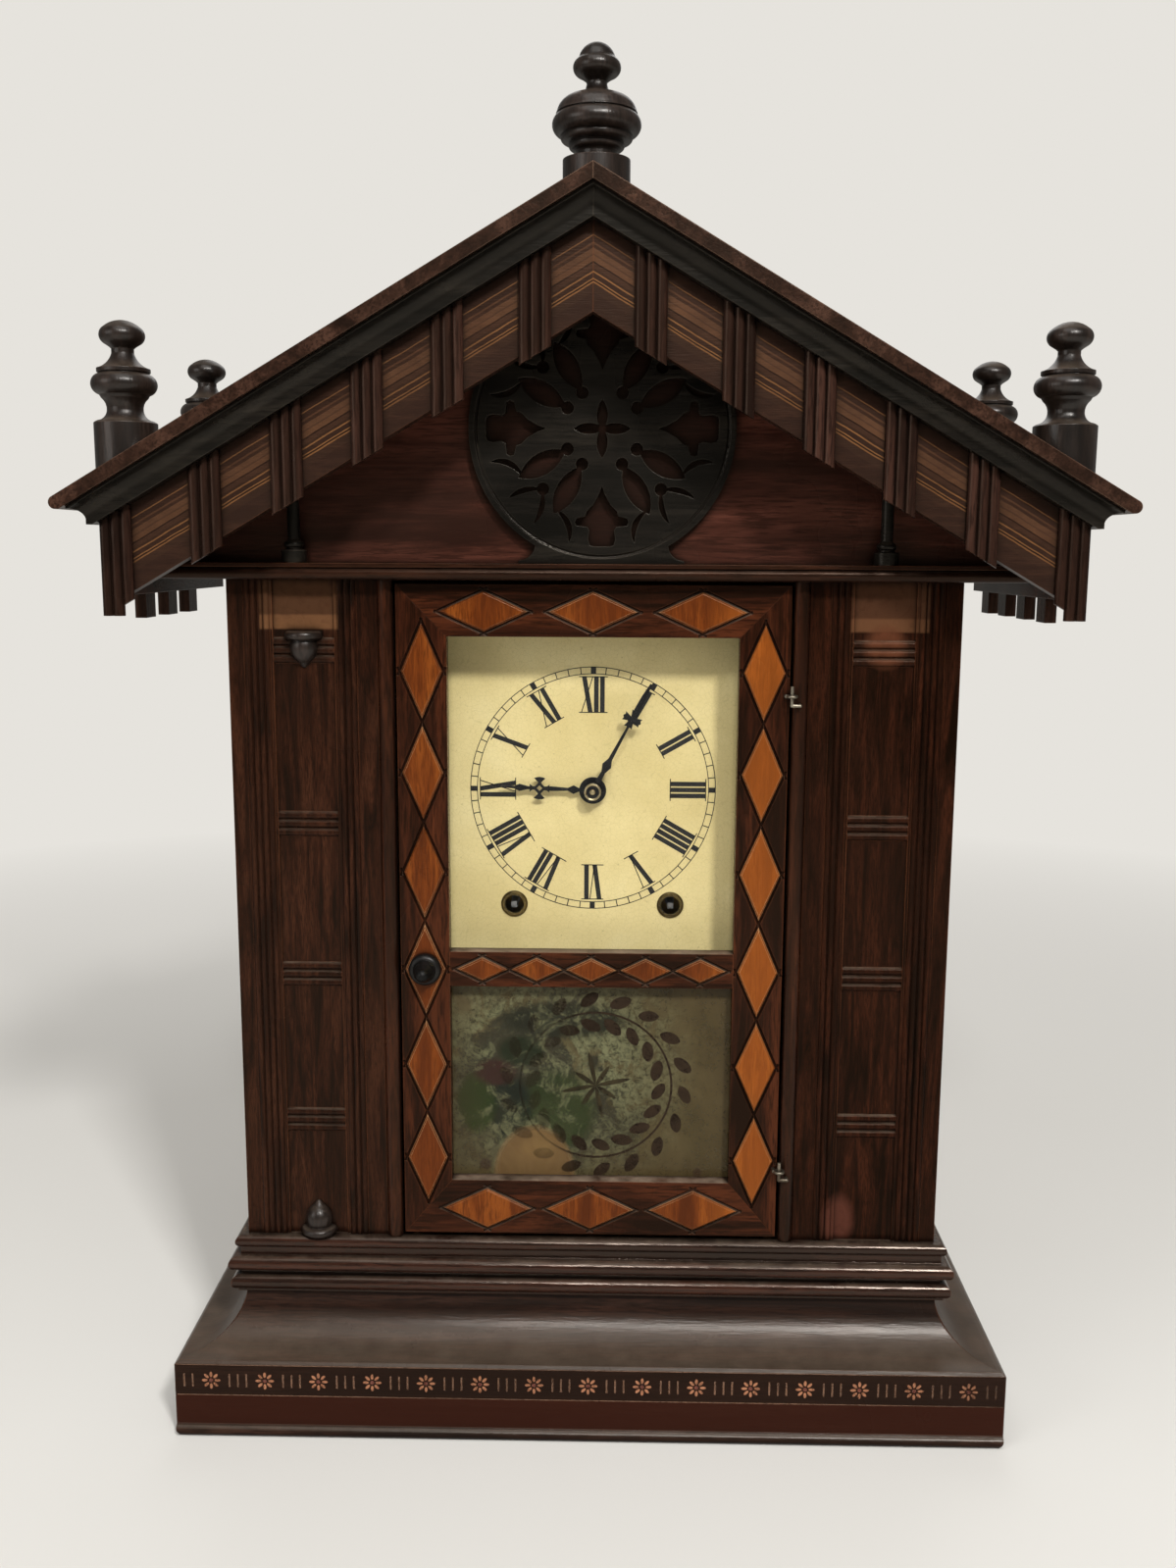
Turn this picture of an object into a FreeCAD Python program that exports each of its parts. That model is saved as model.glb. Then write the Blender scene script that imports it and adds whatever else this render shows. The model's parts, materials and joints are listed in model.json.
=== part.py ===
import FreeCAD
import Part
import Sketcher
import math
import os

Vector = FreeCAD.Vector
doc = FreeCAD.newDocument("shelf_clock")
sheet = doc.addObject("Spreadsheet::Sheet", "dims")
parts = {}
cells = []


class Size:
    def __init__(self, value, text):
        self.value = value
        self.text = text

    def join(self, other, sign, value):
        return Size(value, "(%s %s %s)" % (self.text, sign, other.text))

    def __float__(self):
        return self.value

    def __neg__(self):
        return Size(-self.value, "(0 - %s)" % self.text)

    def __add__(self, other):
        other = as_size(other)
        return self.join(other, "+", self.value + other.value)

    def __radd__(self, other):
        return as_size(other) + self

    def __sub__(self, other):
        other = as_size(other)
        return self.join(other, "-", self.value - other.value)

    def __rsub__(self, other):
        return as_size(other) - self

    def __mul__(self, other):
        other = as_size(other)
        return self.join(other, "*", self.value * other.value)

    def __rmul__(self, other):
        return as_size(other) * self

    def __truediv__(self, other):
        other = as_size(other)
        return self.join(other, "/", self.value / other.value)

    def __rtruediv__(self, other):
        return as_size(other) / self


def as_size(number):
    if isinstance(number, Size):
        return number
    return Size(float(number), "%.6g" % number)


def dim(name, value):
    row = len(cells) + 1
    cells.append(name)
    sheet.set("A%d" % row, name)
    sheet.set("B%d" % row, "%.6g" % value)
    sheet.setAlias("B%d" % row, name)
    return Size(float(value), "dims." + name)


# case: body, roof and base
body_half = dim("body_half_width", 181.5)
body_depth = dim("body_depth", 120)
body_low = dim("body_bottom", 98.8)
body_top = dim("body_top", 443)
board = dim("board_thickness", 10)
back_thick = dim("back_thickness", 8)
plinth_out = dim("plinth_projection", 31.2)
plinth_side = dim("plinth_side_projection", 35.2)
plinth_round = dim("plinth_corner_radius", 5)
plinth_tall = dim("plinth_height", 41)
cove_top = dim("cove_top", 68)
floor_thick = dim("floor_thickness", 8)
bottom_thick = dim("bottom_thickness", 6)
plinth_wall = dim("plinth_wall", 12)
fit = dim("joint_gap", 0.2)
shelf_thick = dim("shelf_thickness", 8)
shelf_nose = dim("shelf_projection", 12)
roof_half = body_half + dim("roof_side_overhang", 60.9)
roof_apex = dim("roof_apex", 623)
roof_rise = dim("roof_rise", 142.6)
roof_front = dim("roof_overhang", 60.8)
roof_back = dim("roof_back", 128)
roof_thick = dim("roof_thickness", 7.2)
frieze_half = body_half + dim("frieze_side_overhang", 45.3)
frieze_front = dim("frieze_overhang", 47)
frieze_tall = dim("frieze_height", 39.4)
frieze_thick = dim("frieze_thickness", 8)
rake_cove_tall = dim("rake_cove_height", 13.3)
cove_fillet = dim("cove_fillet_projection", 4)
cove_out = dim("cove_projection", 10.6)
reed_proud = dim("block_thickness", 3.2)
block_wide = dim("block_width", 14.6)
block_drop = dim("block_drop", 4)
fascia_low = dim("fascia_bottom", 436)
fascia_top = dim("fascia_top", 468)
side_block_low = dim("side_block_bottom", 423.6)
side_block_first = dim("first_side_block", -3)
side_block_pitch = dim("side_block_pitch", 36)

# rosette, colonettes, finials and acorns
rosette_radius = dim("rosette_radius", 64.5)
rosette_thick = dim("rosette_thickness", 5)
rosette_foot = dim("rosette_foot_width", 81)
rosette_foot_tall = dim("rosette_foot_height", 9)
rosette_x = dim("rosette_offset", 4)
column_at = body_half - dim("column_inset", 39.5)
column_shift = dim("left_column_shift", 4)
column_radius = dim("column_radius", 3)
column_depth = dim("column_depth", 5)
finial_half = roof_half - dim("finial_inset", 28.4)
finial_front = dim("finial_front", 40)
finial_back = dim("finial_back", 96)
finial_top = dim("finial_top", 559.6)
ridge_top = dim("ridge_finial_top", 701)
ridge_depth = dim("ridge_finial_depth", 33.6)

# door
door_half = dim("door_half_width", 97.5)
door_gap = dim("door_gap", 1.2)
door_low = dim("door_bottom", 101)
door_top = dim("door_top", 441)
door_proud = dim("door_proud", 2)
door_thick = dim("door_thickness", 16)
stile_wide = dim("stile_width", 25)
top_rail_tall = dim("top_rail_height", 25.7)
low_rail_tall = dim("bottom_rail_height", 29.4)
mid_low = dim("middle_rail_bottom", 236.2)
mid_top = dim("middle_rail_top", 254.4)
rebate = dim("glass_rebate", 4)
rebate_deep = dim("rebate_depth", 8)
glass_thick = dim("glass_thickness", 2)
lozenge_proud = dim("lozenge_thickness", 0.8)
groove_wide = dim("groove_width", 1.5)
groove_deep = dim("groove_depth", 1)
knob_height = dim("knob_height", 245.5)
knob_radius = dim("knob_radius", 8.2)
knob_long = dim("knob_length", 15)
spindle_radius = dim("spindle_radius", 2.5)
tongue_long = dim("tongue_length", 24)
hinge_x = door_half + dim("hinge_offset", 0.8)
hinge_y = dim("hinge_projection", 6)
hinge_low = dim("lower_hinge", 139)
hinge_high = dim("upper_hinge", 387)
wire_radius = dim("hinge_wire_radius", 0.9)
eye_radius = dim("hinge_eye_radius", 2.2)

# pilaster and jamb
jamb_inner = door_half + door_gap
jamb_wide = dim("jamb_width", 8)
jamb_nose = dim("jamb_projection", 4)
pilaster_thick = dim("pilaster_thickness", 14)
strip_from = jamb_inner + jamb_wide
strip_wide = body_half - strip_from
panel_inner = strip_from + strip_wide * dim("panel_start_share", 0.2914)
panel_outer = strip_from + strip_wide * dim("panel_end_share", 0.6992)
reed_wide = strip_wide * dim("reed_share", 0.0428)
panel_sunk = dim("panel_recess", 1.2)
bar_radius = dim("bar_radius", 2.1)
acorn_at = (panel_inner + panel_outer) / 2

# dial and hands
dial_front = dim("dial_depth", 24)
dial_thick = dim("dial_thickness", 1)
dial_centre = dim("dial_centre", 335)
dial_half = jamb_inner - dim("dial_inset", 0.7)
dial_low = dim("dial_bottom", 242)
dial_high = dim("dial_top", 432)
hole_x = dim("winding_offset", 41)
hole_z = dim("winding_height", 273.6)
grommet_radius = dim("grommet_radius", 7)
minute_long = dim("minute_hand_length", 63)
hour_long = dim("hour_hand_length", 48)

# movement
plate_half = dim("plate_half_width", 84)
plate_low = dim("plate_bottom", 228)
plate_high = dim("plate_top", 394)
plate_thick = dim("plate_thickness", 2)
plate_front_y = dim("front_plate_depth", 40)
plate_back_y = dim("back_plate_depth", 84)
arbor_radius = dim("arbor_radius", 1.4)
main_radius = dim("winding_arbor_radius", 2.4)
running = dim("running_clearance", 0.07)
great_module = dim("great_module", 1.25)
second_module = dim("second_module", 1.13)
centre_module = dim("centre_module", 0.72)
third_module = dim("third_module", 0.58)
fly_module = dim("fly_module", 0.6)
cannon_module = dim("cannon_module", 0.75)
hour_module = dim("hour_module", 0.72)
bob_x = dim("pendulum_offset", -29)
bob_z = dim("bob_height", 123)
bob_radius = dim("bob_radius", 22)
pivot_z = dim("pendulum_pivot", 381)
pendulum_y = dim("pendulum_depth", 31)
gong_x = dim("gong_offset", 30)
gong_z = dim("gong_height", 185)
gong_inner = dim("gong_inner_radius", 12)
gong_pitch = dim("gong_pitch", 6)
gong_wire = dim("gong_wire_radius", 1.5)

slope = roof_rise / roof_half
roof_under = roof_apex - roof_thick
frieze_high = roof_under - rake_cove_tall
frieze_low = frieze_high - frieze_tall
fascia_out = frieze_half - reed_proud
fascia_in = fascia_out - frieze_thick
back_face = body_depth - back_thick
floor_top = cove_top + floor_thick
shelf_top = body_top + shelf_thick
opening_half = door_half - stile_wide
door_face = -door_proud
glass_y = door_face + rebate_deep


def bind(thing, name, number):
    number = as_size(number)
    thing.setExpression(name, number.text)


def place(thing, x, y, z):
    thing.Placement.Base = Vector(float(x), float(y), float(z))
    bind(thing, "Placement.Base.x", x)
    bind(thing, "Placement.Base.y", y)
    bind(thing, "Placement.Base.z", z)


def keep(label, thing):
    thing.Label = label
    parts[label] = thing
    return thing


def box(label, x, y, z):
    thing = doc.addObject("Part::Box", label)
    for name, pair in (("Length", x), ("Width", y), ("Height", z)):
        setattr(thing, name, float(pair[1]) - float(pair[0]))
        bind(thing, name, pair[1] - pair[0])
    place(thing, x[0], y[0], z[0])
    return thing


def origin_plane(body, role):
    return [f for f in body.Origin.OriginFeatures if f.Role == role][0]


def fix_point(sketch, geo, pos, point):
    for kind, axis, number in (("DistanceX", -2, point[0]), ("DistanceY", -1, point[1])):
        number = as_size(number)
        if number.value == 0:
            sketch.addConstraint(Sketcher.Constraint("PointOnObject", geo, pos, axis))
            continue
        index = sketch.addConstraint(Sketcher.Constraint(kind, -1, 1, geo, pos, number.value))
        sketch.setExpression("Constraints[%d]" % index, number.text)


# a corner with a third entry starts an arc: of that radius, its centre to the left when positive,
# or with its centre on the upright axis, to the left for "dome left" and to the right for "dome right"
def dome_radius(a, b):
    run = max(a.x, b.x)
    rise = abs(a.y - b.y)
    return (run * run + rise * rise) / (2 * rise)


def arc_between(a, b, radius):
    chord = b - a
    middle = (a + b) * 0.5
    rest = math.sqrt(max(radius * radius - chord.Length * chord.Length / 4, 0))
    left = Vector(-chord.y, chord.x, 0).normalize()
    centre = middle + left * math.copysign(rest, radius)
    first, last = (a, b) if radius > 0 else (b, a)
    angles = [math.atan2(p.y - centre.y, p.x - centre.x) for p in (first, last)]
    if angles[1] <= angles[0]:
        angles[1] += 2 * math.pi
    return Part.ArcOfCircle(Part.Circle(centre, Vector(0, 0, 1), abs(radius)), angles[0], angles[1])


def outline(sketch, corners):
    ends = []
    count = len(corners)
    for i, corner in enumerate(corners):
        following = corners[(i + 1) % count]
        a = Vector(float(corner[0]), float(corner[1]), 0)
        b = Vector(float(following[0]), float(following[1]), 0)
        if len(corner) == 3:
            if isinstance(corner[2], str):
                radius = dome_radius(a, b) * (1 if corner[2] == "dome left" else -1)
            else:
                radius = float(corner[2])
            geo = sketch.addGeometry(arc_between(a, b, radius), False)
            ends.append((geo, 1, 2) if radius > 0 else (geo, 2, 1))
        else:
            geo = sketch.addGeometry(Part.LineSegment(a, b), False)
            ends.append((geo, 1, 2))
    for i in range(count):
        geo, start, _ = ends[i]
        before, _, end = ends[i - 1]
        sketch.addConstraint(Sketcher.Constraint("Coincident", before, end, geo, start))
        fix_point(sketch, geo, start, corners[i])
    for i, corner in enumerate(corners):
        if len(corner) == 3 and isinstance(corner[2], str):
            sketch.addConstraint(Sketcher.Constraint("PointOnObject", ends[i][0], 3, -2))
        elif len(corner) == 3:
            radius = as_size(corner[2])
            index = sketch.addConstraint(Sketcher.Constraint("Radius", ends[i][0], abs(radius.value)))
            text = radius.text if radius.value > 0 else (-radius).text
            sketch.setExpression("Constraints[%d]" % index, text)


def new_sketch(body, name, role, corners, holes=()):
    sketch = body.newObject("Sketcher::SketchObject", name)
    sketch.AttachmentSupport = [(origin_plane(body, role), "")]
    sketch.MapMode = "FlatFace"
    outline(sketch, corners)
    for x, z, radius in holes:
        circle = Part.Circle(Vector(float(x), float(z), 0), Vector(0, 0, 1), float(radius))
        geo = sketch.addGeometry(circle, False)
        fix_point(sketch, geo, 3, (x, z))
        index = sketch.addConstraint(Sketcher.Constraint("Radius", geo, float(radius)))
        sketch.setExpression("Constraints[%d]" % index, as_size(radius).text)
    return sketch


def pad(label, role, corners, depth, at, holes=()):
    body = doc.addObject("PartDesign::Body", label)
    layer(body, label, role, corners, depth, 0, holes)
    place(body, *at)
    return body


# the layer runs from start to start plus depth along +X, +Y or +Z of the body
def layer(body, label, role, corners, depth, start, holes=()):
    sketch = new_sketch(body, label + "_sketch", role, corners, holes)
    side = -1 if role == "XZ_Plane" else 1
    if float(start) != 0:
        sketch.AttachmentOffset = FreeCAD.Placement(Vector(0, 0, side * float(start)), FreeCAD.Rotation())
        bind(sketch, "AttachmentOffset.Base.z", start * side)
    feature = body.newObject("PartDesign::Pad", label + "_pad")
    feature.Profile = sketch
    feature.Length = float(depth)
    bind(feature, "Length", depth)
    feature.Reversed = side < 0
    sketch.Visibility = False


def turned(label, corners, at, facing_front=False):
    body = doc.addObject("PartDesign::Body", label)
    sketch = new_sketch(body, label + "_sketch", "XZ_Plane", corners)
    feature = body.newObject("PartDesign::Revolution", label + "_turning")
    feature.Profile = sketch
    feature.ReferenceAxis = (sketch, ["V_Axis"])
    feature.Angle = 360
    if facing_front:
        body.Placement.Rotation = FreeCAD.Rotation(Vector(1, 0, 0), 90)
    place(body, *at)
    return body


def boolean(label, kind, base, tool):
    thing = doc.addObject("Part::" + kind, label)
    thing.Base = base
    thing.Tool = tool
    return thing


def solid(label, shape):
    thing = doc.addObject("Part::Feature", label)
    thing.Shape = shape
    return keep(label, thing)


def group(shapes):
    return Part.makeCompound(shapes)


def mirror(corners):
    flipped = []
    for corner in corners:
        if len(corner) == 3:
            flipped.append((-corner[0], corner[1], -as_size(corner[2])))
        else:
            flipped.append((-corner[0], corner[1]))
    return flipped


def roof_line(top, x):
    return top - slope * x


# base: bottom board, mitred plinth, floor and the three beads
sideways = plinth_side / plinth_out
bottom_half = body_half + (plinth_out - plinth_wall) * sideways - fit
keep("bottom_board", box("bottom_board", (-bottom_half, bottom_half),
                         (plinth_wall - plinth_out + fit, back_face), (as_size(0), bottom_thick)))
keep("floor_board", box("floor_board", (-body_half, body_half),
                        (as_size(0), back_face), (cove_top, floor_top)))

bead_out = plinth_out - 1
plinth_profile = [
    (plinth_out - plinth_wall, 0),
    (bead_out, 0, 3),
    (bead_out, 5.5),
    (bead_out - 0.6, 6.5),
    (bead_out - 0.6, plinth_tall - 1.5),
    (bead_out - 2.2, plinth_tall),
    (bead_out - 4, plinth_tall, -26),
    (1.5, cove_top - 3),
    (1.5, cove_top),
    (-board, cove_top),
    (-board, cove_top - 8),
    (plinth_out - plinth_wall, plinth_tall - 10),
]
bead_profile = [
    (0, cove_top),
    (5.2, cove_top),
    (5.2, cove_top + 1.2, 4.1),
    (5.2, cove_top + 9.2),
    (3.6, cove_top + 9.2),
    (3.6, cove_top + 12.2),
    (6.3, cove_top + 12.2, 3.9),
    (6.3, cove_top + 19.8),
    (3.6, cove_top + 19.8),
    (3.6, cove_top + 24.2, 3.25),
    (3.6, cove_top + 30.5),
    (0, cove_top + 30.5),
]


mitre_deep = as_size(30)


# the front piece faces -Y; profile entries are the projection from the body and the height
def front_run(label, profile, reach, share):
    corners = mirror(profile)
    half = body_half + reach * share
    inner = body_half - mitre_deep * share
    bar = pad(label + "_bar", "YZ_Plane", corners, half * 2, (-half, 0, 0))
    plan = [(-half, -reach), (half, -reach), (inner, mitre_deep), (-inner, mitre_deep)]
    mitre = pad(label + "_mitre", "XY_Plane", plan, body_low + 10, (0, 0, -1))
    return boolean(label, "Common", bar, mitre)


def side_run(label, profile, reach, share, side):
    wide = [(corner[0] * share, corner[1]) + tuple(as_size(r) * share for r in corner[2:])
            for corner in profile]
    corners = wide if side > 0 else mirror(wide)
    half = body_half + reach * share
    inner = body_half - mitre_deep * share
    bar = pad(label + "_bar", "XZ_Plane", corners, body_depth + reach, (body_half * side, -reach, 0))
    plan = [(side * half, -reach), (side * half, body_depth),
            (side * inner, body_depth), (side * inner, mitre_deep)]
    mitre = pad(label + "_mitre", "XY_Plane", plan, body_low + 10, (0, 0, -1))
    return boolean(label, "Common", bar, mitre)


plinth_reach = plinth_out + 4
bead_reach = as_size(16)
even = as_size(1)
plinth_runs = [front_run("plinth_front", plinth_profile, plinth_reach, sideways)]
plinth_runs += [side_run("plinth_side_%d" % i, plinth_profile, plinth_reach, sideways, side)
                for i, side in enumerate((-1, 1))]
bead_runs = [front_run("bead_front", bead_profile, bead_reach, even)]
bead_runs += [side_run("bead_side_%d" % i, bead_profile, bead_reach, even, side)
              for i, side in enumerate((-1, 1))]
rounded_half = body_half + (bead_out - 0.6) * sideways
rounded_end = [
    (-rounded_half, plinth_round),
    (-rounded_half, cove_top + 1),
    (rounded_half, cove_top + 1),
    (rounded_half, plinth_round, -plinth_round),
    (rounded_half - plinth_round, 0),
    (plinth_round - rounded_half, 0, -plinth_round),
]
rounded_run = body_depth + plinth_reach
rounded = [pad("plinth_ends_%d" % i, "XZ_Plane", rounded_end, rounded_run, (0, -plinth_reach, 0))
           for i in range(len(plinth_runs))]
plinth_runs = [boolean("plinth_run_%d" % i, "Common", run, ends)
               for i, (run, ends) in enumerate(zip(plinth_runs, rounded))]


def compound(label, members):
    thing = doc.addObject("Part::Compound", label)
    thing.Links = members
    return keep(label, thing)


compound("plinth", plinth_runs)
compound("base_beads", bead_runs)

# body: sides, back with rear gable, shelf, jambs
side_boards = [box("case_side_%d" % i, span, (pilaster_thick, back_face), (floor_top, body_top))
               for i, span in enumerate(((-body_half, board - body_half), (body_half - board, body_half)))]
compound("case_sides", side_boards)
gable_half = fascia_in - fit
cove_inner = body_half - board * sideways - fit
back_corners = [
    (-bottom_half, 0),
    (bottom_half, 0),
    (bottom_half, plinth_tall - 12),
    (cove_inner, cove_top - 9),
    (cove_inner, cove_top + fit),
    (body_half, cove_top + fit),
    (body_half, body_top),
    (gable_half, body_top),
    (gable_half, roof_line(roof_under - fit, gable_half)),
    (0, roof_under - fit),
    (-gable_half, roof_line(roof_under - fit, gable_half)),
    (-gable_half, body_top),
    (-body_half, body_top),
    (-body_half, cove_top + fit),
    (-cove_inner, cove_top + fit),
    (-cove_inner, cove_top - 9),
    (-bottom_half, plinth_tall - 12),
]
keep("back_board", pad("back_board", "XZ_Plane", back_corners, back_thick, (0, back_face, 0)))
nose = shelf_thick - 2
shelf_corners = [
    (-shelf_nose + 3, body_top, -(nose * 0.52)),
    (-shelf_nose + 3, body_top + nose),
    (-shelf_nose + 1, body_top + nose),
    (-shelf_nose + 1, shelf_top),
    (back_face, shelf_top),
    (back_face, body_top),
]
keep("top_shelf", pad("top_shelf", "YZ_Plane", shelf_corners, gable_half * 2, (-gable_half, 0, 0)))
jamb_corners = [
    (0, -jamb_nose + jamb_wide * 0.5, jamb_wide * 0.51),
    (jamb_wide, -jamb_nose + jamb_wide * 0.5),
    (jamb_wide, pilaster_thick),
    (0, pilaster_thick),
]
jamb_low = cove_top + 30.5
jamb_shafts = []
for label, side in (("left", -1), ("right", 1)):
    shape = jamb_corners if side > 0 else mirror(jamb_corners)
    strip = pad("jamb_%s_strip" % label, "XY_Plane", shape, body_top - jamb_low,
                (side * jamb_inner, 0, jamb_low))
    jamb_shafts.append(strip)

# pilasters: vertical reeds on both sides of a sunk panel that four groups of three bars cross
bar_shares = [0.898, 0.643, 0.414, 0.184]
bar_pitch = 4.4


def reed_row(start, count):
    row = []
    for i in range(count):
        row.append((start + reed_wide * i, 0.3, reed_wide * 0.52))
    row.append((start + reed_wide * count, 0.3))
    return row


def pilaster(label, side):
    inner = jamb_inner + jamb_wide + fit
    outer_reeds = 4
    inner_reeds = 3
    gap = 1.6
    corners = [(inner, 0)]
    inner_start = panel_inner - gap - reed_wide * inner_reeds
    corners += [(inner_start, 0)] + reed_row(inner_start, inner_reeds)
    corners += [(panel_inner, 0), (panel_inner, panel_sunk), (panel_outer, panel_sunk), (panel_outer, 0)]
    outer_start = panel_outer + gap
    corners += reed_row(outer_start, outer_reeds) + [(outer_start + reed_wide * outer_reeds, 0)]
    corners += [(body_half, 0), (body_half, pilaster_thick), (inner, pilaster_thick)]
    foot = [(inner, 0), (body_half, 0), (body_half, pilaster_thick), (inner, pilaster_thick)]
    if side < 0:
        corners = mirror(corners)
        foot = mirror(foot)
    body = pad(label, "XY_Plane", corners, body_top - jamb_low, (0, 0, jamb_low))
    layer(body, label + "_foot", "XY_Plane", foot, jamb_low - floor_top, floor_top - jamb_low)
    turn = FreeCAD.Rotation(Vector(0, 1, 0), 90)
    for i, share in enumerate(bar_shares):
        for k in (-1, 0, 1):
            rod = body.newObject("PartDesign::AdditiveCylinder", "%s_bar_%d_%d" % (label, i, k + 1))
            rod.Radius = float(bar_radius)
            bind(rod, "Radius", bar_radius)
            rod.Height = float(panel_outer - panel_inner)
            bind(rod, "Height", panel_outer - panel_inner)
            start = panel_inner if side > 0 else -panel_outer
            rise = (body_top - jamb_low) * share + k * bar_pitch
            rod.Placement = FreeCAD.Placement(Vector(float(start), float(panel_sunk + 0.6), float(rise)), turn)
            bind(rod, "Placement.Base.x", start)
            bind(rod, "Placement.Base.y", panel_sunk + 0.6)
            bind(rod, "Placement.Base.z", rise)
    return keep(label, body)


pilaster("pilaster_left", -1)
pilaster("pilaster_right", 1)

# gable: panel, roof boards, coves, friezes and fascias
panel_front = as_size(2)
gable_corners = [
    (-gable_half, shelf_top),
    (gable_half, shelf_top),
    (gable_half, roof_line(roof_under - fit, gable_half)),
    (0, roof_under - fit),
    (-gable_half, roof_line(roof_under - fit, gable_half)),
]
keep("gable_panel", pad("gable_panel", "XZ_Plane", gable_corners, 6, (0, panel_front, 0)))
nose_start = roof_half - 2.8
nose_top = roof_half + 0.2
roof_corners = [
    (0, roof_apex),
    (0, roof_under),
    (nose_start, roof_line(roof_under, nose_start)),
    (nose_start + 1.8, roof_line(roof_under, nose_start), 3),
    (nose_top, roof_line(roof_apex, nose_top)),
]
roof_long = roof_front + roof_back
roof_pair = []
for label, side in (("left", -1), ("right", 1)):
    shape = roof_corners if side > 0 else mirror(roof_corners)
    roof_pair.append(pad("roof_%s" % label, "XZ_Plane", shape, roof_long, (0, -roof_front, 0)))
compound("roof_boards", roof_pair)

# the rake cove is drawn level, sheared along the roof slope by its own two ends, and mitred to the eave cove
frieze_back = frieze_thick + reed_proud - frieze_front
fillet_tall = 3.4
cove_steps = [
    (frieze_back, 0),
    (-frieze_front - cove_out, 0),
    (-frieze_front - cove_out, -1.4),
    (-frieze_front - cove_out + 0.6, -1.6),
    (-frieze_front - cove_fillet, fillet_tall - rake_cove_tall),
    (-frieze_front - cove_fillet, -rake_cove_tall),
    (frieze_back, -rake_cove_tall),
]
cove_edge = frieze_half + cove_out
cove_low = fascia_top + fit
eave_top = roof_line(roof_under, cove_edge)
eave_face = [
    (frieze_half + cove_fillet, cove_low),
    (frieze_half + cove_fillet, cove_low + 2.6, -6),
    (cove_edge - 0.6, eave_top - 1),
    (cove_edge, eave_top - 1),
    (cove_edge, eave_top),
]
limit = [(0, cove_low)] + eave_face + [(0, roof_apex)]


def sheared_run(steps, top, x_from, x_to, bulge):
    sections = []
    for x in (x_from, x_to):
        z = top - float(slope) * abs(x)
        points = [Vector(x, float(y), z + float(rise)) for y, rise in steps]
        edges = []
        for i, point in enumerate(points):
            following = points[(i + 1) % len(points)]
            if i == 3:
                middle = (point + following) * 0.5 + Vector(0, bulge, bulge * 0.9)
                edges.append(Part.Arc(point, middle, following).toShape())
            else:
                edges.append(Part.makeLine(point, following))
        sections.append(Part.Wire(edges))
    return Part.makeLoft(sections, True, True)


cove_pair = []
for label, side in (("left", -1), ("right", 1)):
    shape = limit if side > 0 else mirror(limit)
    reach = pad("cove_limit_%s" % label, "XZ_Plane", shape, frieze_front + cove_out,
                (0, -frieze_front - cove_out - 5, 0))
    doc.recompute()
    run = sheared_run(cove_steps, float(roof_under), 0, side * float(cove_edge), 1.4)
    cove_pair.append(run.common(reach.Shape))
solid("rake_coves", group(cove_pair))
eave_corners = [(fascia_in, cove_low)] + eave_face + [(fascia_in, roof_line(roof_under, fascia_in))]
eave_from = -(frieze_front - frieze_thick - reed_proud) + fit
eave_pair = []
fascia_pair = []
for label, side in (("left", -1), ("right", 1)):
    shape = eave_corners if side > 0 else mirror(eave_corners)
    eave_pair.append(pad("eave_%s" % label, "XZ_Plane", shape, body_depth - eave_from, (0, eave_from, 0)))
    span = (fascia_in, fascia_out) if side > 0 else (-fascia_out, -fascia_in)
    fascia_pair.append(box("fascia_%s" % label, span, (eave_from, body_depth), (fascia_low, fascia_top)))
compound("eave_coves", eave_pair)
compound("fascias", fascia_pair)
frieze_end = frieze_half - 0.4
frieze_corners = [
    (0, frieze_low),
    (frieze_end, roof_line(frieze_low, frieze_end)),
    (frieze_end, roof_line(frieze_high, frieze_end)),
    (0, frieze_high),
]
frieze_pair = []
for label, side in (("left", -1), ("right", 1)):
    shape = frieze_corners if side > 0 else mirror(frieze_corners)
    front = reed_proud - frieze_front
    frieze_pair.append(pad("frieze_%s" % label, "XZ_Plane", shape, frieze_thick, (0, front, 0)))
compound("friezes", frieze_pair)


# a block of three reeds standing along +Z, its flat back at y = 0 and its reeds towards -y
def reeded_block(width, proud, low, high):
    third = width / 3.0
    base = -proud * 0.45
    edges = [Part.makeLine(Vector(width / 2, base, low), Vector(width / 2, 0, low)),
             Part.makeLine(Vector(width / 2, 0, low), Vector(-width / 2, 0, low)),
             Part.makeLine(Vector(-width / 2, 0, low), Vector(-width / 2, base, low))]
    for i in range(3):
        a = Vector(-width / 2 + third * i, base, low)
        b = Vector(-width / 2 + third * (i + 1), base, low)
        edges.append(Part.Arc(a, (a + b) * 0.5 + Vector(0, -proud * 0.55, 0), b).toShape())
    return Part.Face(Part.Wire(edges)).extrude(Vector(0, 0, high - low))


def prism(points, depth):
    wire = Part.makePolygon([Vector(*p) for p in points] + [Vector(*points[0])])
    return Part.Face(wire).extrude(Vector(0, float(depth), 0))


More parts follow.
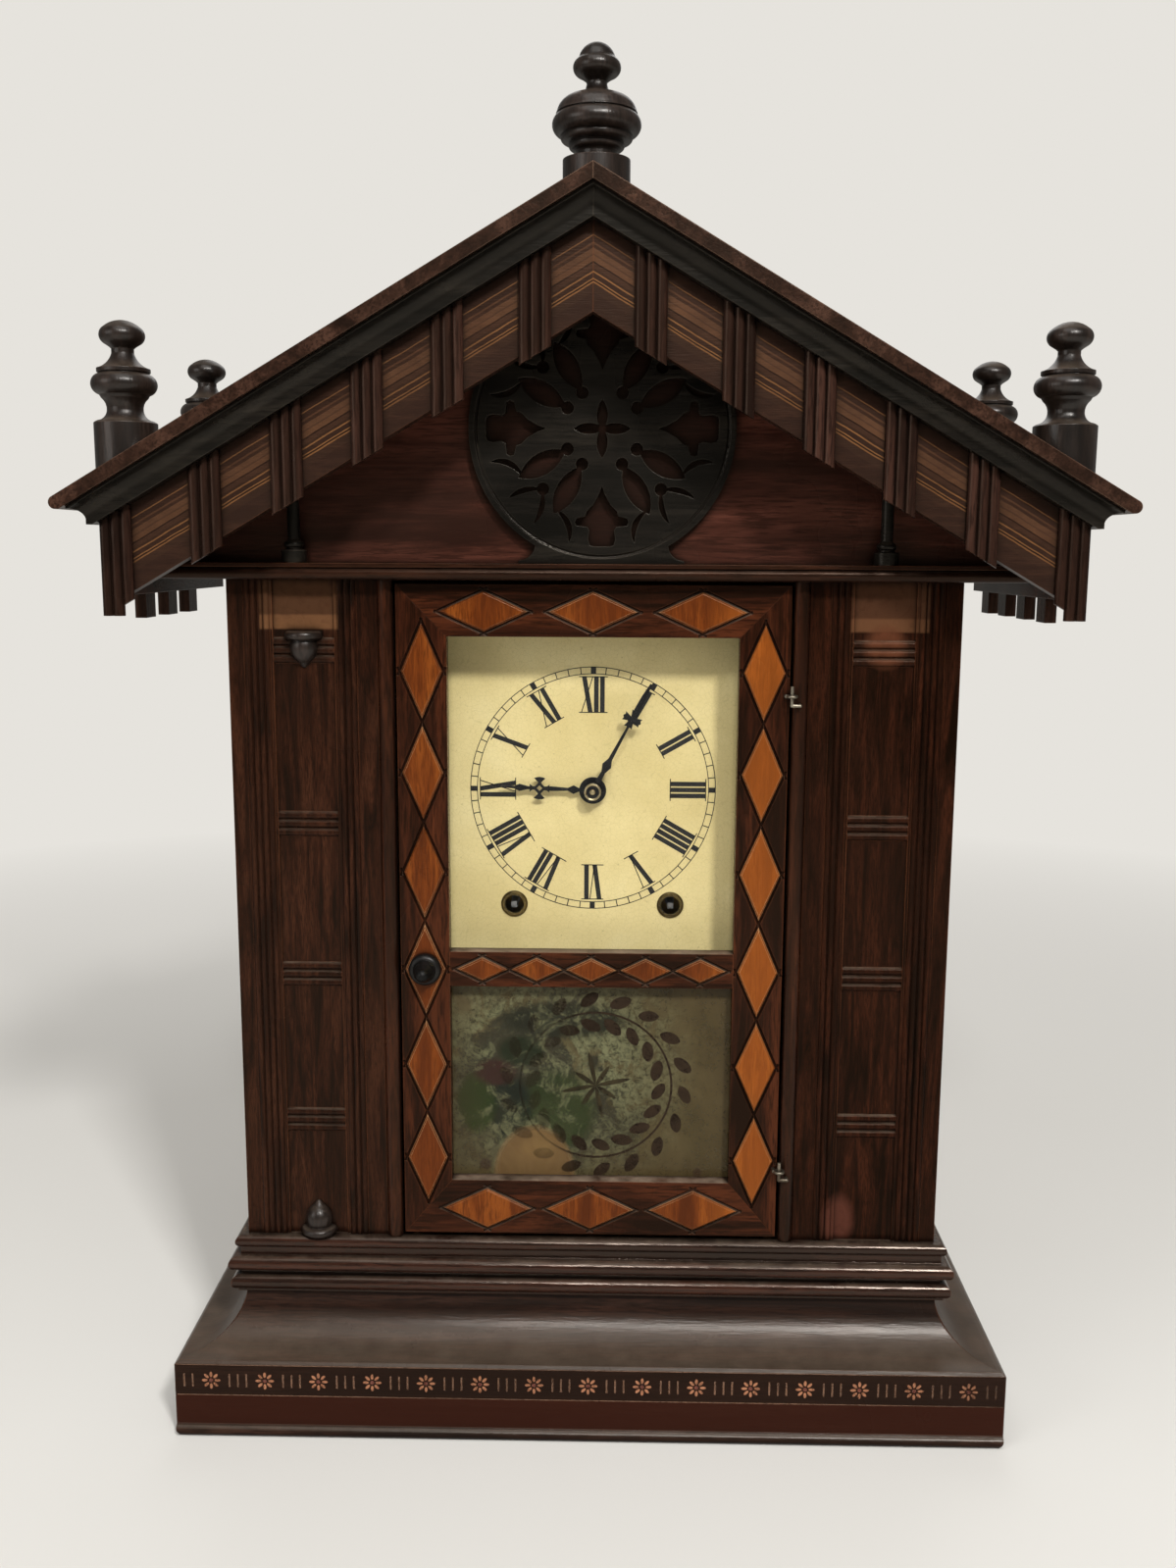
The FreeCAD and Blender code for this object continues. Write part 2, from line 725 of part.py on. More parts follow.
block_shares = (0.1147, 0.2894, 0.4513, 0.6154, 0.783)
block_spots = [float(frieze_half) * share for share in block_shares]
block_spots.append(float(frieze_half - block_wide / 2))
front_blocks = []
front_plane = float(reed_proud - frieze_front)
lift = float(frieze_low) - float(block_drop)
for side in (-1, 1):
    for spot in block_spots:
        x = side * spot
        stick = reeded_block(float(block_wide), float(reed_proud), 300, 700)
        stick.translate(Vector(x, front_plane, 0))
        outer = float(frieze_half) + 5
        level = float(fascia_low) - 9.5
        rise_at = lambda top, run: top - float(slope) * run
        step = float(frieze_half) - float(block_wide) * 0.68
        slab_points = [(0, front_plane - 9, lift), (side * step, front_plane - 9, rise_at(lift, step)),
                       (side * step, front_plane - 9, level), (side * outer, front_plane - 9, level),
                       (side * outer, front_plane - 9, rise_at(float(frieze_high), outer)),
                       (0, front_plane - 9, float(frieze_high))]
        front_blocks.append(stick.common(prism(slab_points, 20)))
solid("frieze_blocks", group(front_blocks))
toe_deep = 3
side_blocks = []
for side, count in ((-1, 3), (1, 4)):
    for i in range(count):
        stick = reeded_block(float(block_wide), float(reed_proud), float(side_block_low), float(fascia_top))
        toe = Part.makeBox(float(block_wide), toe_deep, float(fascia_low - side_block_low) - 0.2,
                           Vector(-float(block_wide) / 2, 0, float(side_block_low)))
        stick = stick.fuse(toe).removeSplitter()
        stick.rotate(Vector(0, 0, 0), Vector(0, 0, 1), 90 * side)
        y = float(side_block_first + side_block_pitch * i) + float(block_wide) / 2
        stick.translate(Vector(side * float(fascia_out), y, 0))
        side_blocks.append(stick)
solid("fascia_blocks", group(side_blocks))

# pierced rosette: a cross of petals, four arrows, eight keyholes and four trefoils inside a plain ring
rosette_y = panel_front - rosette_thick
cutter_deep = float(rosette_thick) + 2


def on_wheel(radius, angle):
    turn = math.radians(angle)
    return Vector(radius * math.cos(turn), -1, radius * math.sin(turn))


# an opening between two points, its edges bowed to either side of the chord by left and right
def sliver(a, b, left, right):
    along = (b - a).normalize()
    across = Vector(-along.z, 0, along.x)
    middle = (a + b) * 0.5
    edges = []
    for start, bow, end in ((a, left, b), (b, right, a)):
        if bow == 0:
            edges.append(Part.makeLine(start, end))
        else:
            edges.append(Part.Arc(start, middle + across * bow, end).toShape())
    return Part.Face(Part.Wire(edges)).extrude(Vector(0, cutter_deep, 0))


def drill(hole, radius, angle):
    return Part.makeCylinder(hole, cutter_deep, on_wheel(radius, angle), Vector(0, 1, 0))


# the arrow points inward along +X: a pointed head, two ears across it and a square tail
def arrow(scale, angle):
    half = [(27, 0), (31, 1.4), (36, 4.2), (39.2, 7.4), (41.4, 8), (42.6, 12.4), (44.4, 13),
            (46, 12.2), (46.6, 7), (48.4, 6), (52.6, 6.6), (55.4, 5.8), (56, 4)]
    points = half + [(r, -t) for r, t in reversed(half) if t > 0]
    corners = [Vector(r * scale, -1, t * scale) for r, t in points]
    shape = Part.Face(Part.makePolygon(corners + corners[:1])).extrude(Vector(0, cutter_deep, 0))
    shape.rotate(Vector(0, 0, 0), Vector(0, 1, 0), -angle)
    return shape


def rosette():
    big = float(rosette_radius)
    thick = float(rosette_thick)
    scale = big / 64.5
    wheel = Part.makeCylinder(big, thick, Vector(0, 0, 0), Vector(0, 1, 0))
    foot_half = float(rosette_foot) / 2
    foot_top = float(rosette_foot_tall) - big
    waist = foot_half * 0.8
    left, right = Vector(-foot_half, 0, -big + 1.6), Vector(foot_half, 0, -big + 1.6)
    edges = [Part.makeLine(Vector(-foot_half, 0, -big), Vector(foot_half, 0, -big)),
             Part.makeLine(Vector(foot_half, 0, -big), right),
             Part.Arc(right, Vector(waist * 1.06, 0, -big + 4.4), Vector(waist, 0, foot_top)).toShape(),
             Part.makeLine(Vector(waist, 0, foot_top), Vector(-waist, 0, foot_top)),
             Part.Arc(Vector(-waist, 0, foot_top), Vector(-waist * 1.06, 0, -big + 4.4), left).toShape(),
             Part.makeLine(left, Vector(-foot_half, 0, -big))]
    foot = Part.Face(Part.Wire(edges)).extrude(Vector(0, thick, 0))
    rim = Part.makeTorus(61 * scale, 0.8, Vector(0, 0, 0), Vector(0, 1, 0))
    openings = []
    for axis in (0, 90, 180, 270):
        openings.append(sliver(on_wheel(-1 * scale, axis), on_wheel(13.7 * scale, axis),
                               2.6 * scale, -2.6 * scale))
        openings.append(arrow(scale, axis))
        for side in (-1, 1):
            spoke = axis + 30 * side
            openings.append(drill(3 * scale, 19.3 * scale, spoke))
            openings.append(sliver(on_wheel(20.6 * scale, spoke), on_wheel(46.5 * scale, spoke),
                                   5.2 * scale, -5.2 * scale))
            tip = on_wheel(56.4 * scale, axis + 16.5 * side)
            openings.append(sliver(on_wheel(44.6 * scale, spoke), tip,
                                   -4.4 * scale * side, -1.6 * scale * side))
        spoke = axis + 45
        openings.append(drill(3 * scale, 40.4 * scale, spoke))
        for side in (-1, 1):
            tip = on_wheel(55.9 * scale, spoke + 8.8 * side)
            openings.append(sliver(on_wheel(41 * scale, spoke), tip, 3.2 * scale * side, 0.6 * scale * side))
    body = wheel.fuse(foot).cut(rim)
    for tool in openings:
        body = body.cut(tool)
    return body.removeSplitter()


fret = solid("rosette", rosette())
place(fret, rosette_x, rosette_y, shelf_top + rosette_radius)

# turned pieces: colonettes, finials, acorns
wide_reach = 300


def roof_tool(top, low):
    points = [(-wide_reach, -200, float(top) - float(slope) * wide_reach), (0, -200, float(top)),
              (wide_reach, -200, float(top) - float(slope) * wide_reach), (wide_reach, -200, low),
              (-wide_reach, -200, low)]
    return prism(points, 500)


column_tall = roof_line(roof_under, column_at) - shelf_top
column = turned("column_pattern", [
    (0, 0), (column_radius * 2, 0), (column_radius * 2, 6), (column_radius * 1.3, 6.4),
    (column_radius * 1.3, 7.4, column_radius * 0.55), (column_radius * 1.3, 10.4), (column_radius, 11.4),
    (column_radius, column_tall - 12), (column_radius * 1.6, column_tall - 6),
    (column_radius * 1.6, column_tall + 6), (0, column_tall + 6)], (0, -column_depth, shelf_top))
corner_radius = dim("finial_drum_radius", 14.2)
ck = corner_radius / 14.2
corner_finial = turned("corner_finial_pattern", [
    (0, 0, "dome right"), (8.4 * ck, -3.2 * ck, -4.3 * ck), (8 * ck, -10.4 * ck), (6 * ck, -11.7 * ck),
    (5 * ck, -12.6 * ck), (5 * ck, -14.6 * ck, 10 * ck), (11.2 * ck, -21.2 * ck), (11.9 * ck, -21.4 * ck),
    (11.9 * ck, -23 * ck), (11.2 * ck, -23.4 * ck), (11.6 * ck, -23.8 * ck, -4.85 * ck), (11.2 * ck, -33 * ck),
    (10.4 * ck, -34.4 * ck, 6 * ck), (8.1 * ck, -38.6 * ck), (8.1 * ck, -40 * ck, 5.2 * ck),
    (12.6 * ck, -44.6 * ck),
    (13.4 * ck, -45 * ck), (14.2 * ck, -45.6 * ck), (14.2 * ck, -79 * ck), (0, -79 * ck)], (0, 0, 0))
rk = dim("ridge_drum_radius", 16.7) / 16.7
ridge_finial = turned("ridge_finial_pattern", [
    (0, 0, "dome right"), (8.9 * rk, -6.8 * rk), (9.6 * rk, -7.8 * rk, -4.4 * rk), (8.6 * rk, -15.8 * rk),
    (6.2 * rk, -17.4 * rk), (5.1 * rk, -18.4 * rk), (5.1 * rk, -19.4 * rk, 6 * rk), (7.8 * rk, -23.6 * rk),
    (7.8 * rk, -24.4 * rk), (10.8 * rk, -24.6 * rk, -9.1 * rk), (19.6 * rk, -31.8 * rk), (20 * rk, -32.8 * rk),
    (19.2 * rk, -33.2 * rk, -5.6 * rk), (19.2 * rk, -42.8 * rk), (17.6 * rk, -43.2 * rk, -2.2 * rk),
    (15.8 * rk, -46.2 * rk), (13.4 * rk, -46.6 * rk, -2.1 * rk), (12 * rk, -49.8 * rk), (10.6 * rk, -50.2 * rk),
    (10.1 * rk, -51 * rk), (10.1 * rk, -53.6 * rk), (11 * rk, -54.3 * rk), (16.7 * rk, -54.4 * rk),
    (16.7 * rk, -92 * rk), (0, -92 * rk)], (0, 0, 0))
ak = dim("acorn_cup_radius", 9) / 9
acorn = turned("acorn_pattern", [
    (0, 0), (8 * ak, 0, 2.2 * ak), (8 * ak, 4.2 * ak), (6.4 * ak, 4.6 * ak, 9 * ak), (3 * ak, 15.6 * ak),
    (1 * ak, 18 * ak), (0, 18.4 * ak)], (0, 0, 0))
doc.recompute()


def moved(shape, x, y, z):
    copy = shape.copy()
    copy.Placement = FreeCAD.Placement()
    copy.translate(Vector(float(x), float(y), float(z)))
    return copy


above = roof_tool(roof_under, 700)
below = roof_tool(roof_apex, 300)
columns = [moved(column.Shape, x, -column_depth, shelf_top) for x in (-column_at - column_shift, column_at)]
solid("columns", group([shape.cut(above) for shape in columns]))
corner_spots = [(side * finial_half, y, finial_top) for side in (-1, 1) for y in (-finial_front, finial_back)]
solid("corner_finials", group([moved(corner_finial.Shape, *spot).cut(below) for spot in corner_spots]))
solid("ridge_finial", moved(ridge_finial.Shape, 0, ridge_depth, ridge_top).cut(below))
left_pilaster = parts["pilaster_left"].Shape
panel_y = float(panel_sunk)
half_space = Part.makeBox(float(body_half), float(body_depth), float(shelf_top),
                          Vector(-float(body_half), panel_y, 0))
hanging = acorn.Shape.copy()
hanging.rotate(Vector(0, 0, 0), Vector(1, 0, 0), 180)
acorn_top = body_top - 25.5
acorn_pair = [moved(acorn.Shape, -acorn_at, panel_sunk, jamb_low + fit)]
hanging.translate(Vector(-float(acorn_at), panel_y, float(acorn_top)))
acorn_pair.append(hanging)
solid("acorns", group([shape.cut(half_space).cut(left_pilaster) for shape in acorn_pair]))

# dial: plate on two strips, with a grommet in each winding hole
strip_inner = jamb_inner - 8.7
strip_outer = jamb_inner + 7.3
strips = [box("dial_strip_%d" % i, span, (pilaster_thick, dial_front), (dial_low + 20, dial_high - 2))
          for i, span in enumerate(((-strip_outer, -strip_inner), (strip_inner, strip_outer)))]
compound("dial_strips", strips)
hole_radius = grommet_radius - 1
centre_hole = dim("dial_centre_hole", 5)
dial_corners = [(-dial_half, dial_low), (dial_half, dial_low), (dial_half, dial_high), (-dial_half, dial_high)]
dial_holes = [(0, dial_centre, centre_hole), (-hole_x, hole_z, hole_radius), (hole_x, hole_z, hole_radius)]
keep("dial_plate", pad("dial_plate", "XZ_Plane", dial_corners, dial_thick, (0, dial_front, 0), dial_holes))
grommet_pair = []
for i, side in enumerate((-1, 1)):
    rim = [(hole_radius - 1.2, -dial_thick), (hole_radius, -dial_thick), (hole_radius, 0), (grommet_radius, 0),
           (grommet_radius, 0.5), (grommet_radius - 0.8, 1.3), (hole_radius - 1.2, 1.3)]
    grommet_pair.append(turned("grommet_%d" % i, rim, (side * hole_x, dial_front, hole_z), True))
compound("grommets", grommet_pair)

# door: mitred frame rebated for two glasses
knob_x = -(door_half - stile_wide / 2)
inner_half = opening_half + rebate
glass_top = door_top - top_rail_tall
glass_low = door_low + low_rail_tall
back_deep = door_thick - rebate_deep


def framed(label, front_corners, back_corners, holes=()):
    body = doc.addObject("PartDesign::Body", label)
    layer(body, label + "_front", "XZ_Plane", front_corners, rebate_deep, as_size(0), holes)
    layer(body, label + "_back", "XZ_Plane", back_corners, back_deep, rebate_deep, holes)
    place(body, 0, door_face, 0)
    return body


def stile(label, side, holes=()):
    front = [(door_half, door_low), (door_half, door_top), (opening_half, glass_top), (opening_half, glass_low)]
    rise = rebate * (door_top - glass_top) / stile_wide
    fall = rebate * (glass_low - door_low) / stile_wide
    back = [(door_half, door_low), (door_half, door_top), (inner_half, glass_top + rise),
            (inner_half, glass_low - fall)]
    if side < 0:
        front, back = mirror(front), mirror(back)
    return framed(label, front, back, holes)


def end_rail(label, outer, inner):
    front = [(-door_half, outer), (door_half, outer), (opening_half, inner), (-opening_half, inner)]
    shift = (outer - inner) * rebate / stile_wide
    back = [(-door_half, outer), (door_half, outer), (inner_half, inner + shift), (-inner_half, inner + shift)]
    return framed(label, front, back)


spindle_hole = [(knob_x, knob_height, spindle_radius + running)]
left_frame = stile("left_stile_frame", -1, spindle_hole)
right_frame = stile("right_stile_frame", 1)
top_frame = end_rail("top_rail_frame", door_top, glass_top)
bottom_frame = end_rail("bottom_rail_frame", door_low, glass_low)
mid_front = [(-opening_half, mid_low), (opening_half, mid_low),
             (opening_half, mid_top), (-opening_half, mid_top)]
mid_lift = mid_low + rebate
mid_drop = mid_top - rebate
mid_back = [(-inner_half, mid_lift), (inner_half, mid_lift), (inner_half, mid_drop), (-inner_half, mid_drop)]
middle_frame = framed("middle_rail_frame", mid_front, mid_back)
pane_half = inner_half - fit
keep("dial_glass", box("dial_glass", (-pane_half, pane_half), (glass_y, glass_y + glass_thick),
                       (mid_drop + fit, glass_top + rebate * top_rail_tall / stile_wide - fit)))
keep("tablet_glass", box("tablet_glass", (-pane_half, pane_half), (glass_y, glass_y + glass_thick),
                         (glass_low - rebate * low_rail_tall / stile_wide + fit, mid_lift - fit)))

# hinges: wire hooks in the right jamb, eyes in the right stile
shank_x = hinge_x - eye_radius - 0.5
hook_x = hinge_x + 4.2
hook_drop = 4.6
wire = float(wire_radius)
eyes = []
hooks = []
for level in (float(hinge_low), float(hinge_high)):
    ax, ay = float(hinge_x), -float(hinge_y)
    ring = Part.makeTorus(float(eye_radius), wire * 0.85, Vector(ax, ay, level))
    shank = Part.makeCylinder(wire * 0.85, float(hinge_y) + 8,
                              Vector(float(shank_x), ay, level), Vector(0, 1, 0))
    eyes.append(ring.fuse(shank).removeSplitter())
    foot = level - hook_drop
    pin = Part.makeCylinder(wire, hook_drop + 5, Vector(ax, ay, foot))
    leg = Part.makeCylinder(wire, float(hook_x) - ax, Vector(ax, ay, foot), Vector(1, 0, 0))
    bend = Part.makeSphere(wire, Vector(float(hook_x), ay, foot))
    heel = Part.makeSphere(wire, Vector(ax, ay, foot))
    spike = Part.makeCylinder(wire, float(hinge_y) + 8, Vector(float(hook_x), ay, foot), Vector(0, 1, 0))
    hooks.append(pin.fuse([leg, bend, heel, spike]).removeSplitter())
solid("hinge_eyes", group(eyes))
solid("hinge_hooks", group(hooks))
right_jamb = boolean("jamb_right", "Cut", jamb_shafts[1], parts["hinge_hooks"])
compound("jamb_beads", [jamb_shafts[0], right_jamb])


# lozenges: bevelled rhombs along the door frame, with a V groove sawn along every edge
def rhomb(x, z, width, tall):
    wires = []
    for y, inset in ((0, 0), (float(lozenge_proud), 0.9)):
        front = float(door_face) - y
        shrink = inset * math.hypot(width, tall) / (width * tall) * 2
        across, up = width / 2 * (1 - shrink), tall / 2 * (1 - shrink)
        points = [Vector(x - across, front, z), Vector(x, front, z - up), Vector(x + across, front, z),
                  Vector(x, front, z + up)]
        wires.append(Part.makePolygon(points + points[:1]))
    return Part.makeLoft(wires, True, True)


def sawn(x, z, width, tall, past):
    half = float(groove_wide) / 2
    deep = float(groove_deep)
    face = float(door_face)
    cuts = []
    for side in (-1, 1):
        for rise in (-1, 1):
            tip = Vector(x + side * width / 2, face, z)
            end = Vector(x, face, z + rise * tall / 2)
            along = (end - tip).normalize()
            out = Vector(side * abs(along.z), 0, rise * abs(along.x))
            start = tip - along * past + out * half
            points = [start - out * half - Vector(0, 1, 0), start + out * half - Vector(0, 1, 0),
                      start + out * half, start + Vector(0, deep, 0), start - out * half]
            length = (end - tip).Length + past * 2
            cuts.append(Part.Face(Part.makePolygon(points + points[:1])).extrude(along * length))
    return cuts


stile_count = 6
stile_centre = float(door_half) - float(stile_wide) / 2
run_low = float(door_low) + float(low_rail_tall) * 0.56
run_high = float(door_top) - float(top_rail_tall) * 0.68
stile_pitch = (run_high - run_low) / stile_count
rail_span = float(opening_half) * 0.745
mid_level = (float(mid_low) + float(mid_top)) / 2
spots = {"left_stile": [], "right_stile": []}
for label, side in (("left_stile", -1), ("right_stile", 1)):
    for i in range(stile_count):
        spots[label].append((side * stile_centre, run_low + stile_pitch * (i + 0.5), 20.4, stile_pitch * 0.93))
top_level = float(door_top) - float(top_rail_tall) * 0.52
low_level = float(door_low) + float(low_rail_tall) * 0.47
spots["top_rail"] = [(i * rail_span, top_level, 43.7, 20) for i in (-1, 0, 1)]
spots["bottom_rail"] = [(i * rail_span, low_level, 46, 22) for i in (-1, 0, 1)]
spots["middle_rail"] = [(i * float(opening_half) * 0.385, mid_level, 26, 12.5) for i in (-2, -1, 0, 1, 2)]
lozenges = [rhomb(*spot) for row in spots.values() for spot in row]


def grooved(label, frame, row):
    cuts = [cut for spot in spots[row] for cut in sawn(*spot, 2.6)]
    tool = doc.addObject("Part::Feature", label + "_grooves")
    tool.Shape = cuts[0].multiFuse(cuts[1:])
    return keep(label, boolean(label, "Cut", frame, tool))


grooved("stile_left", left_frame, "left_stile")
grooved("stile_right", boolean("right_stile_drilled", "Cut", right_frame, parts["hinge_eyes"]), "right_stile")
grooved("rail_top", top_frame, "top_rail")
grooved("rail_bottom", bottom_frame, "bottom_rail")
grooved("rail_middle", middle_frame, "middle_rail")
bore = Part.makeCylinder(float(spindle_radius + running), 20, Vector(float(knob_x), -10, float(knob_height)),
                         Vector(0, 1, 0))
solid("lozenges", group([shape.cut(bore) for shape in lozenges]))

# turning knob on a spindle with its catch tongue behind the stile
knob_gap = 0.3
knob_foot = lozenge_proud + knob_gap
tongue_y = door_thick + knob_gap
kr = knob_radius
knob_turning = turned("knob_turning", [
    (0, -tongue_y - 2), (spindle_radius, -tongue_y - 2), (spindle_radius, knob_foot), (kr, knob_foot),
    (kr, knob_foot + 2, kr * 0.35), (kr * 0.72, knob_foot + 4),
    (kr * 0.62, knob_foot + 5.5), (kr * 0.62, knob_foot + 8),
    (kr * 0.42, knob_foot + knob_long * 0.78, "dome left"), (0, knob_foot + knob_long)],
    (knob_x, door_face, knob_height), True)
tongue = box("tongue", (knob_x - 3.5, knob_x + 3.5), (door_face + tongue_y, door_face + tongue_y + 2),
             (knob_height - tongue_long, knob_height + 5))
keep("door_knob", boolean("door_knob", "Fuse", knob_turning, tongue))

# movement: every wheel lies in a plane across Y, seen from the front with X right and Z up
trundle = 0.35
shroud = 0.8
shroud_gap = 0.4
great_teeth, pinion_leaves, second_teeth = 56, 8, 56
centre_teeth, fine_leaves, third_teeth = 60, 6, 60
fly_teeth, escape_teeth = 48, 36
cannon_leaves, minute_teeth, minute_leaves, hour_teeth = 12, 36, 10, 40


def rod(x, z, y_from, y_to, radius):
    return Part.makeCylinder(float(radius), float(y_to) - float(y_from),
                             Vector(x, float(y_from), z), Vector(0, 1, 0))


def polar(x, y, z, radius, angle):
    return Vector(x + radius * math.cos(angle), y, z + radius * math.sin(angle))


def toothed(x, z, y, thick, teeth, module, phase, steps):
    points = []
    pitch_radius = teeth * module / 2
    for k in range(teeth):
        middle = phase + 2 * math.pi * k / teeth
        for rise, width in steps:
            radius = pitch_radius + rise * module
            points.append(polar(x, y, z, radius, middle + width * module / 2 / radius))
    return Part.Face(Part.makePolygon(points + points[:1])).extrude(Vector(0, thick, 0))


wheel_steps = [(-0.75, -1.15), (0, -1.0), (0.8, -0.3), (0.8, 0.3), (0, 1.0), (-0.75, 1.15)]
ratchet_steps = [(-0.8, -1.5), (0.6, -1.35), (0.6, -1.0), (-0.8, 1.3)]
escape_steps = [(-1.4, -1.2), (0, -0.35), (0, -0.1), (-1.4, 0.2)]


# four crossings leave a rim, a hub and four spokes
def crossed(disc, x, z, y, thick, rim, hub, spoke):
    ring = rod(x, z, y - 1, y + thick + 1, rim).cut(rod(x, z, y - 1, y + thick + 1, hub))
    arms = Part.makeBox(rim * 2, thick + 2, spoke, Vector(x - rim, y - 1, z - spoke / 2))
    post = Part.makeBox(spoke, thick + 2, rim * 2, Vector(x - spoke / 2, y - 1, z - rim))
    return disc.cut(ring.cut(arms).cut(post))


def wheel(spot, y, thick, teeth, module, phase, hub=5.0):
    x, z = spot
    root = teeth * module / 2 - 0.75 * module
    disc = toothed(x, z, y, thick, teeth, module, phase, wheel_steps)
    return crossed(disc, x, z, y, thick, root - 2.2, hub, 2.6)


def lantern(spot, y, thick, leaves, module, phase, bore=0):
    x, z = spot
    ring = leaves * module / 2
    low = y - shroud_gap - shroud
    high = y + thick + shroud_gap
    outer = ring + (trundle + 0.25) * module
    pieces = [rod(x, z, low, low + shroud, outer), rod(x, z, high, high + shroud, outer)]
    for k in range(leaves):
        p = polar(x, 0, z, ring, phase + 2 * math.pi * k / leaves)
        pieces.append(rod(p.x, p.z, low, high + shroud, trundle * module))
    return pieces


def spot_from(a, distance, angle):
    return (a[0] + distance * math.cos(angle), a[1] + distance * math.sin(angle))


def bearing(a, b):
    return math.atan2(b[1] - a[1], b[0] - a[0])


def distance_of(teeth, leaves, module):
    return (teeth + leaves) * float(module) / 2


# arbor places: the second wheels stand where both of their meshes close
time_spot = (float(hole_x), float(hole_z))
strike_spot = (-float(hole_x), float(hole_z))
centre_spot = (0.0, float(dial_centre))
great_reach = distance_of(great_teeth, pinion_leaves, great_module)
second_reach = distance_of(second_teeth, pinion_leaves, second_module)
span = math.dist(time_spot, centre_spot)
along = (great_reach ** 2 - second_reach ** 2 + span ** 2) / (2 * span)
swing = math.acos(along / great_reach)
second_spot = spot_from(time_spot, great_reach, bearing(time_spot, centre_spot) - swing)
strike_second_spot = (-second_spot[0], second_spot[1])
third_spot = spot_from(centre_spot, distance_of(centre_teeth, fine_leaves, centre_module), math.radians(120))
escape_x = float(bob_x)
third_reach = distance_of(third_teeth, fine_leaves, third_module)
escape_spot = (escape_x, third_spot[1] + math.sqrt(third_reach ** 2 - (third_spot[0] - escape_x) ** 2))
strike_third_spot = spot_from(strike_second_spot, second_reach, math.radians(147))
fly_spot = spot_from(strike_third_spot, distance_of(fly_teeth, fine_leaves, fly_module), math.radians(90))
hammer_spot = (0.0, float(hole_z) - 15)
minute_spot = spot_from(centre_spot, distance_of(minute_teeth, cannon_leaves, cannon_module), 0)
verge_spot = (escape_x, float(pivot_z))

thick_wheel, thin_wheel = 2.5, 1.5
front_in = float(plate_front_y + plate_thick)
back_in = float(plate_back_y)
great_y = back_in - 6.5
strike_second_y = front_in + 8
second_y = front_in + 4.5
centre_y = front_in + 14
third_y = front_in + 20
fly_y = front_in + 18
escape_y = float(plate_front_y) - 6
turn = float(running)
thin = float(arbor_radius)
main = float(main_radius)
pivot = thin * 0.7
plate_spots = [(second_spot, pivot), (strike_second_spot, pivot), (third_spot, pivot), (strike_third_spot, pivot),
               (fly_spot, pivot), (hammer_spot, pivot), (escape_spot, thin), (centre_spot, thin),
               (time_spot, main), (strike_spot, main)]
pillar_spots = [(sx * (float(plate_half) - 6), z) for sx in (-1, 1)
                for z in (float(plate_low) + 6, float(plate_high) - 6)]
pillar_radius = 3.0
pillar_pin = 1.8


def plate(label, y, corners, pin):
    holes = [(spot[0], spot[1], radius + turn) for spot, radius in plate_spots]
    holes += [(x, z, pin) for x, z in pillar_spots]
    return pad(label, "XZ_Plane", corners, plate_thick, (0, y, 0), holes)


plate_corners = [(-plate_half, plate_low), (plate_half, plate_low),
                 (plate_half, plate_high), (-plate_half, plate_high)]
front_sheet = plate("front_sheet", plate_front_y, plate_corners, pillar_pin)
keep("plate_back", plate("plate_back", plate_back_y, plate_corners, pillar_pin))
posts = []
for x, z in pillar_spots:
    shaft = rod(x, z, front_in, back_in, pillar_radius)
    nose = rod(x, z, float(plate_front_y) - 1.5, front_in, pillar_pin)
    tail = rod(x, z, back_in, back_in + float(plate_thick), pillar_pin)
    foot = rod(x, z, back_in + float(plate_thick), back_face, pillar_radius + 2)
    posts.append(shaft.fuse([nose, tail, foot]).removeSplitter())
solid("pillars", group(posts))


def arbor(spot, radius=thin):
    shaft = rod(spot[0], spot[1], front_in + 0.5, back_in - 0.5, radius)
    pins = rod(spot[0], spot[1], float(plate_front_y) - 0.4, back_in + float(plate_thick) + 0.4, pivot)
    return [shaft, pins]


def joined(label, pieces):
    return solid(label, pieces[0].fuse(pieces[1:]).removeSplitter())


# winding arbors with ratchets, great wheels with clicks, and mainsprings
ratchet_teeth, ratchet_module = 14, 1.5
for label, spot in (("time", time_spot), ("strike", strike_spot)):
    x, z = spot
    shaft = rod(x, z, float(dial_front) + 10, back_in + float(plate_thick) + 0.6, main)
    key = 1.55
    square = Part.makeBox(key * 2, 14, key * 2, Vector(x - key, float(dial_front) - 2, z - key))
    disc = toothed(x, z, great_y - 2.4, 1.8, ratchet_teeth, ratchet_module, 0, ratchet_steps)
    collar = rod(x, z, great_y + thick_wheel + 0.3, great_y + thick_wheel + 2, main + 2)
    joined("winding_arbor_" + label, [shaft, square, disc, collar])
    mate = second_spot if label == "time" else strike_second_spot
    phase = bearing(spot, mate) + math.pi / great_teeth
    ring = wheel(spot, great_y, thick_wheel, great_teeth, float(great_module), phase, 16.0)
    ring = ring.cut(rod(x, z, great_y - 1, great_y + thick_wheel + 1, main + turn))
    click = rod(x, z + 14.6, great_y - 2.4, great_y, 1.9)
    solid("great_wheel_" + label, ring.fuse(click).removeSplitter())


# a spiral strip of half turns whose centres alternate by half the pitch
def spiral_edges(x, y, z, inner, pitch, halves):
    edges = []
    radius = inner
    centre = x
    for k in range(halves):
        side = 1 if k % 2 == 0 else -1
        points = [polar(centre, y, z, radius, a) for a in ((0, math.pi / 2, math.pi) if side > 0
                                                           else (math.pi, 1.5 * math.pi, 2 * math.pi))]
        edges.append(Part.Arc(*points).toShape())
        centre += side * pitch / 2
        radius += pitch / 2
    return edges


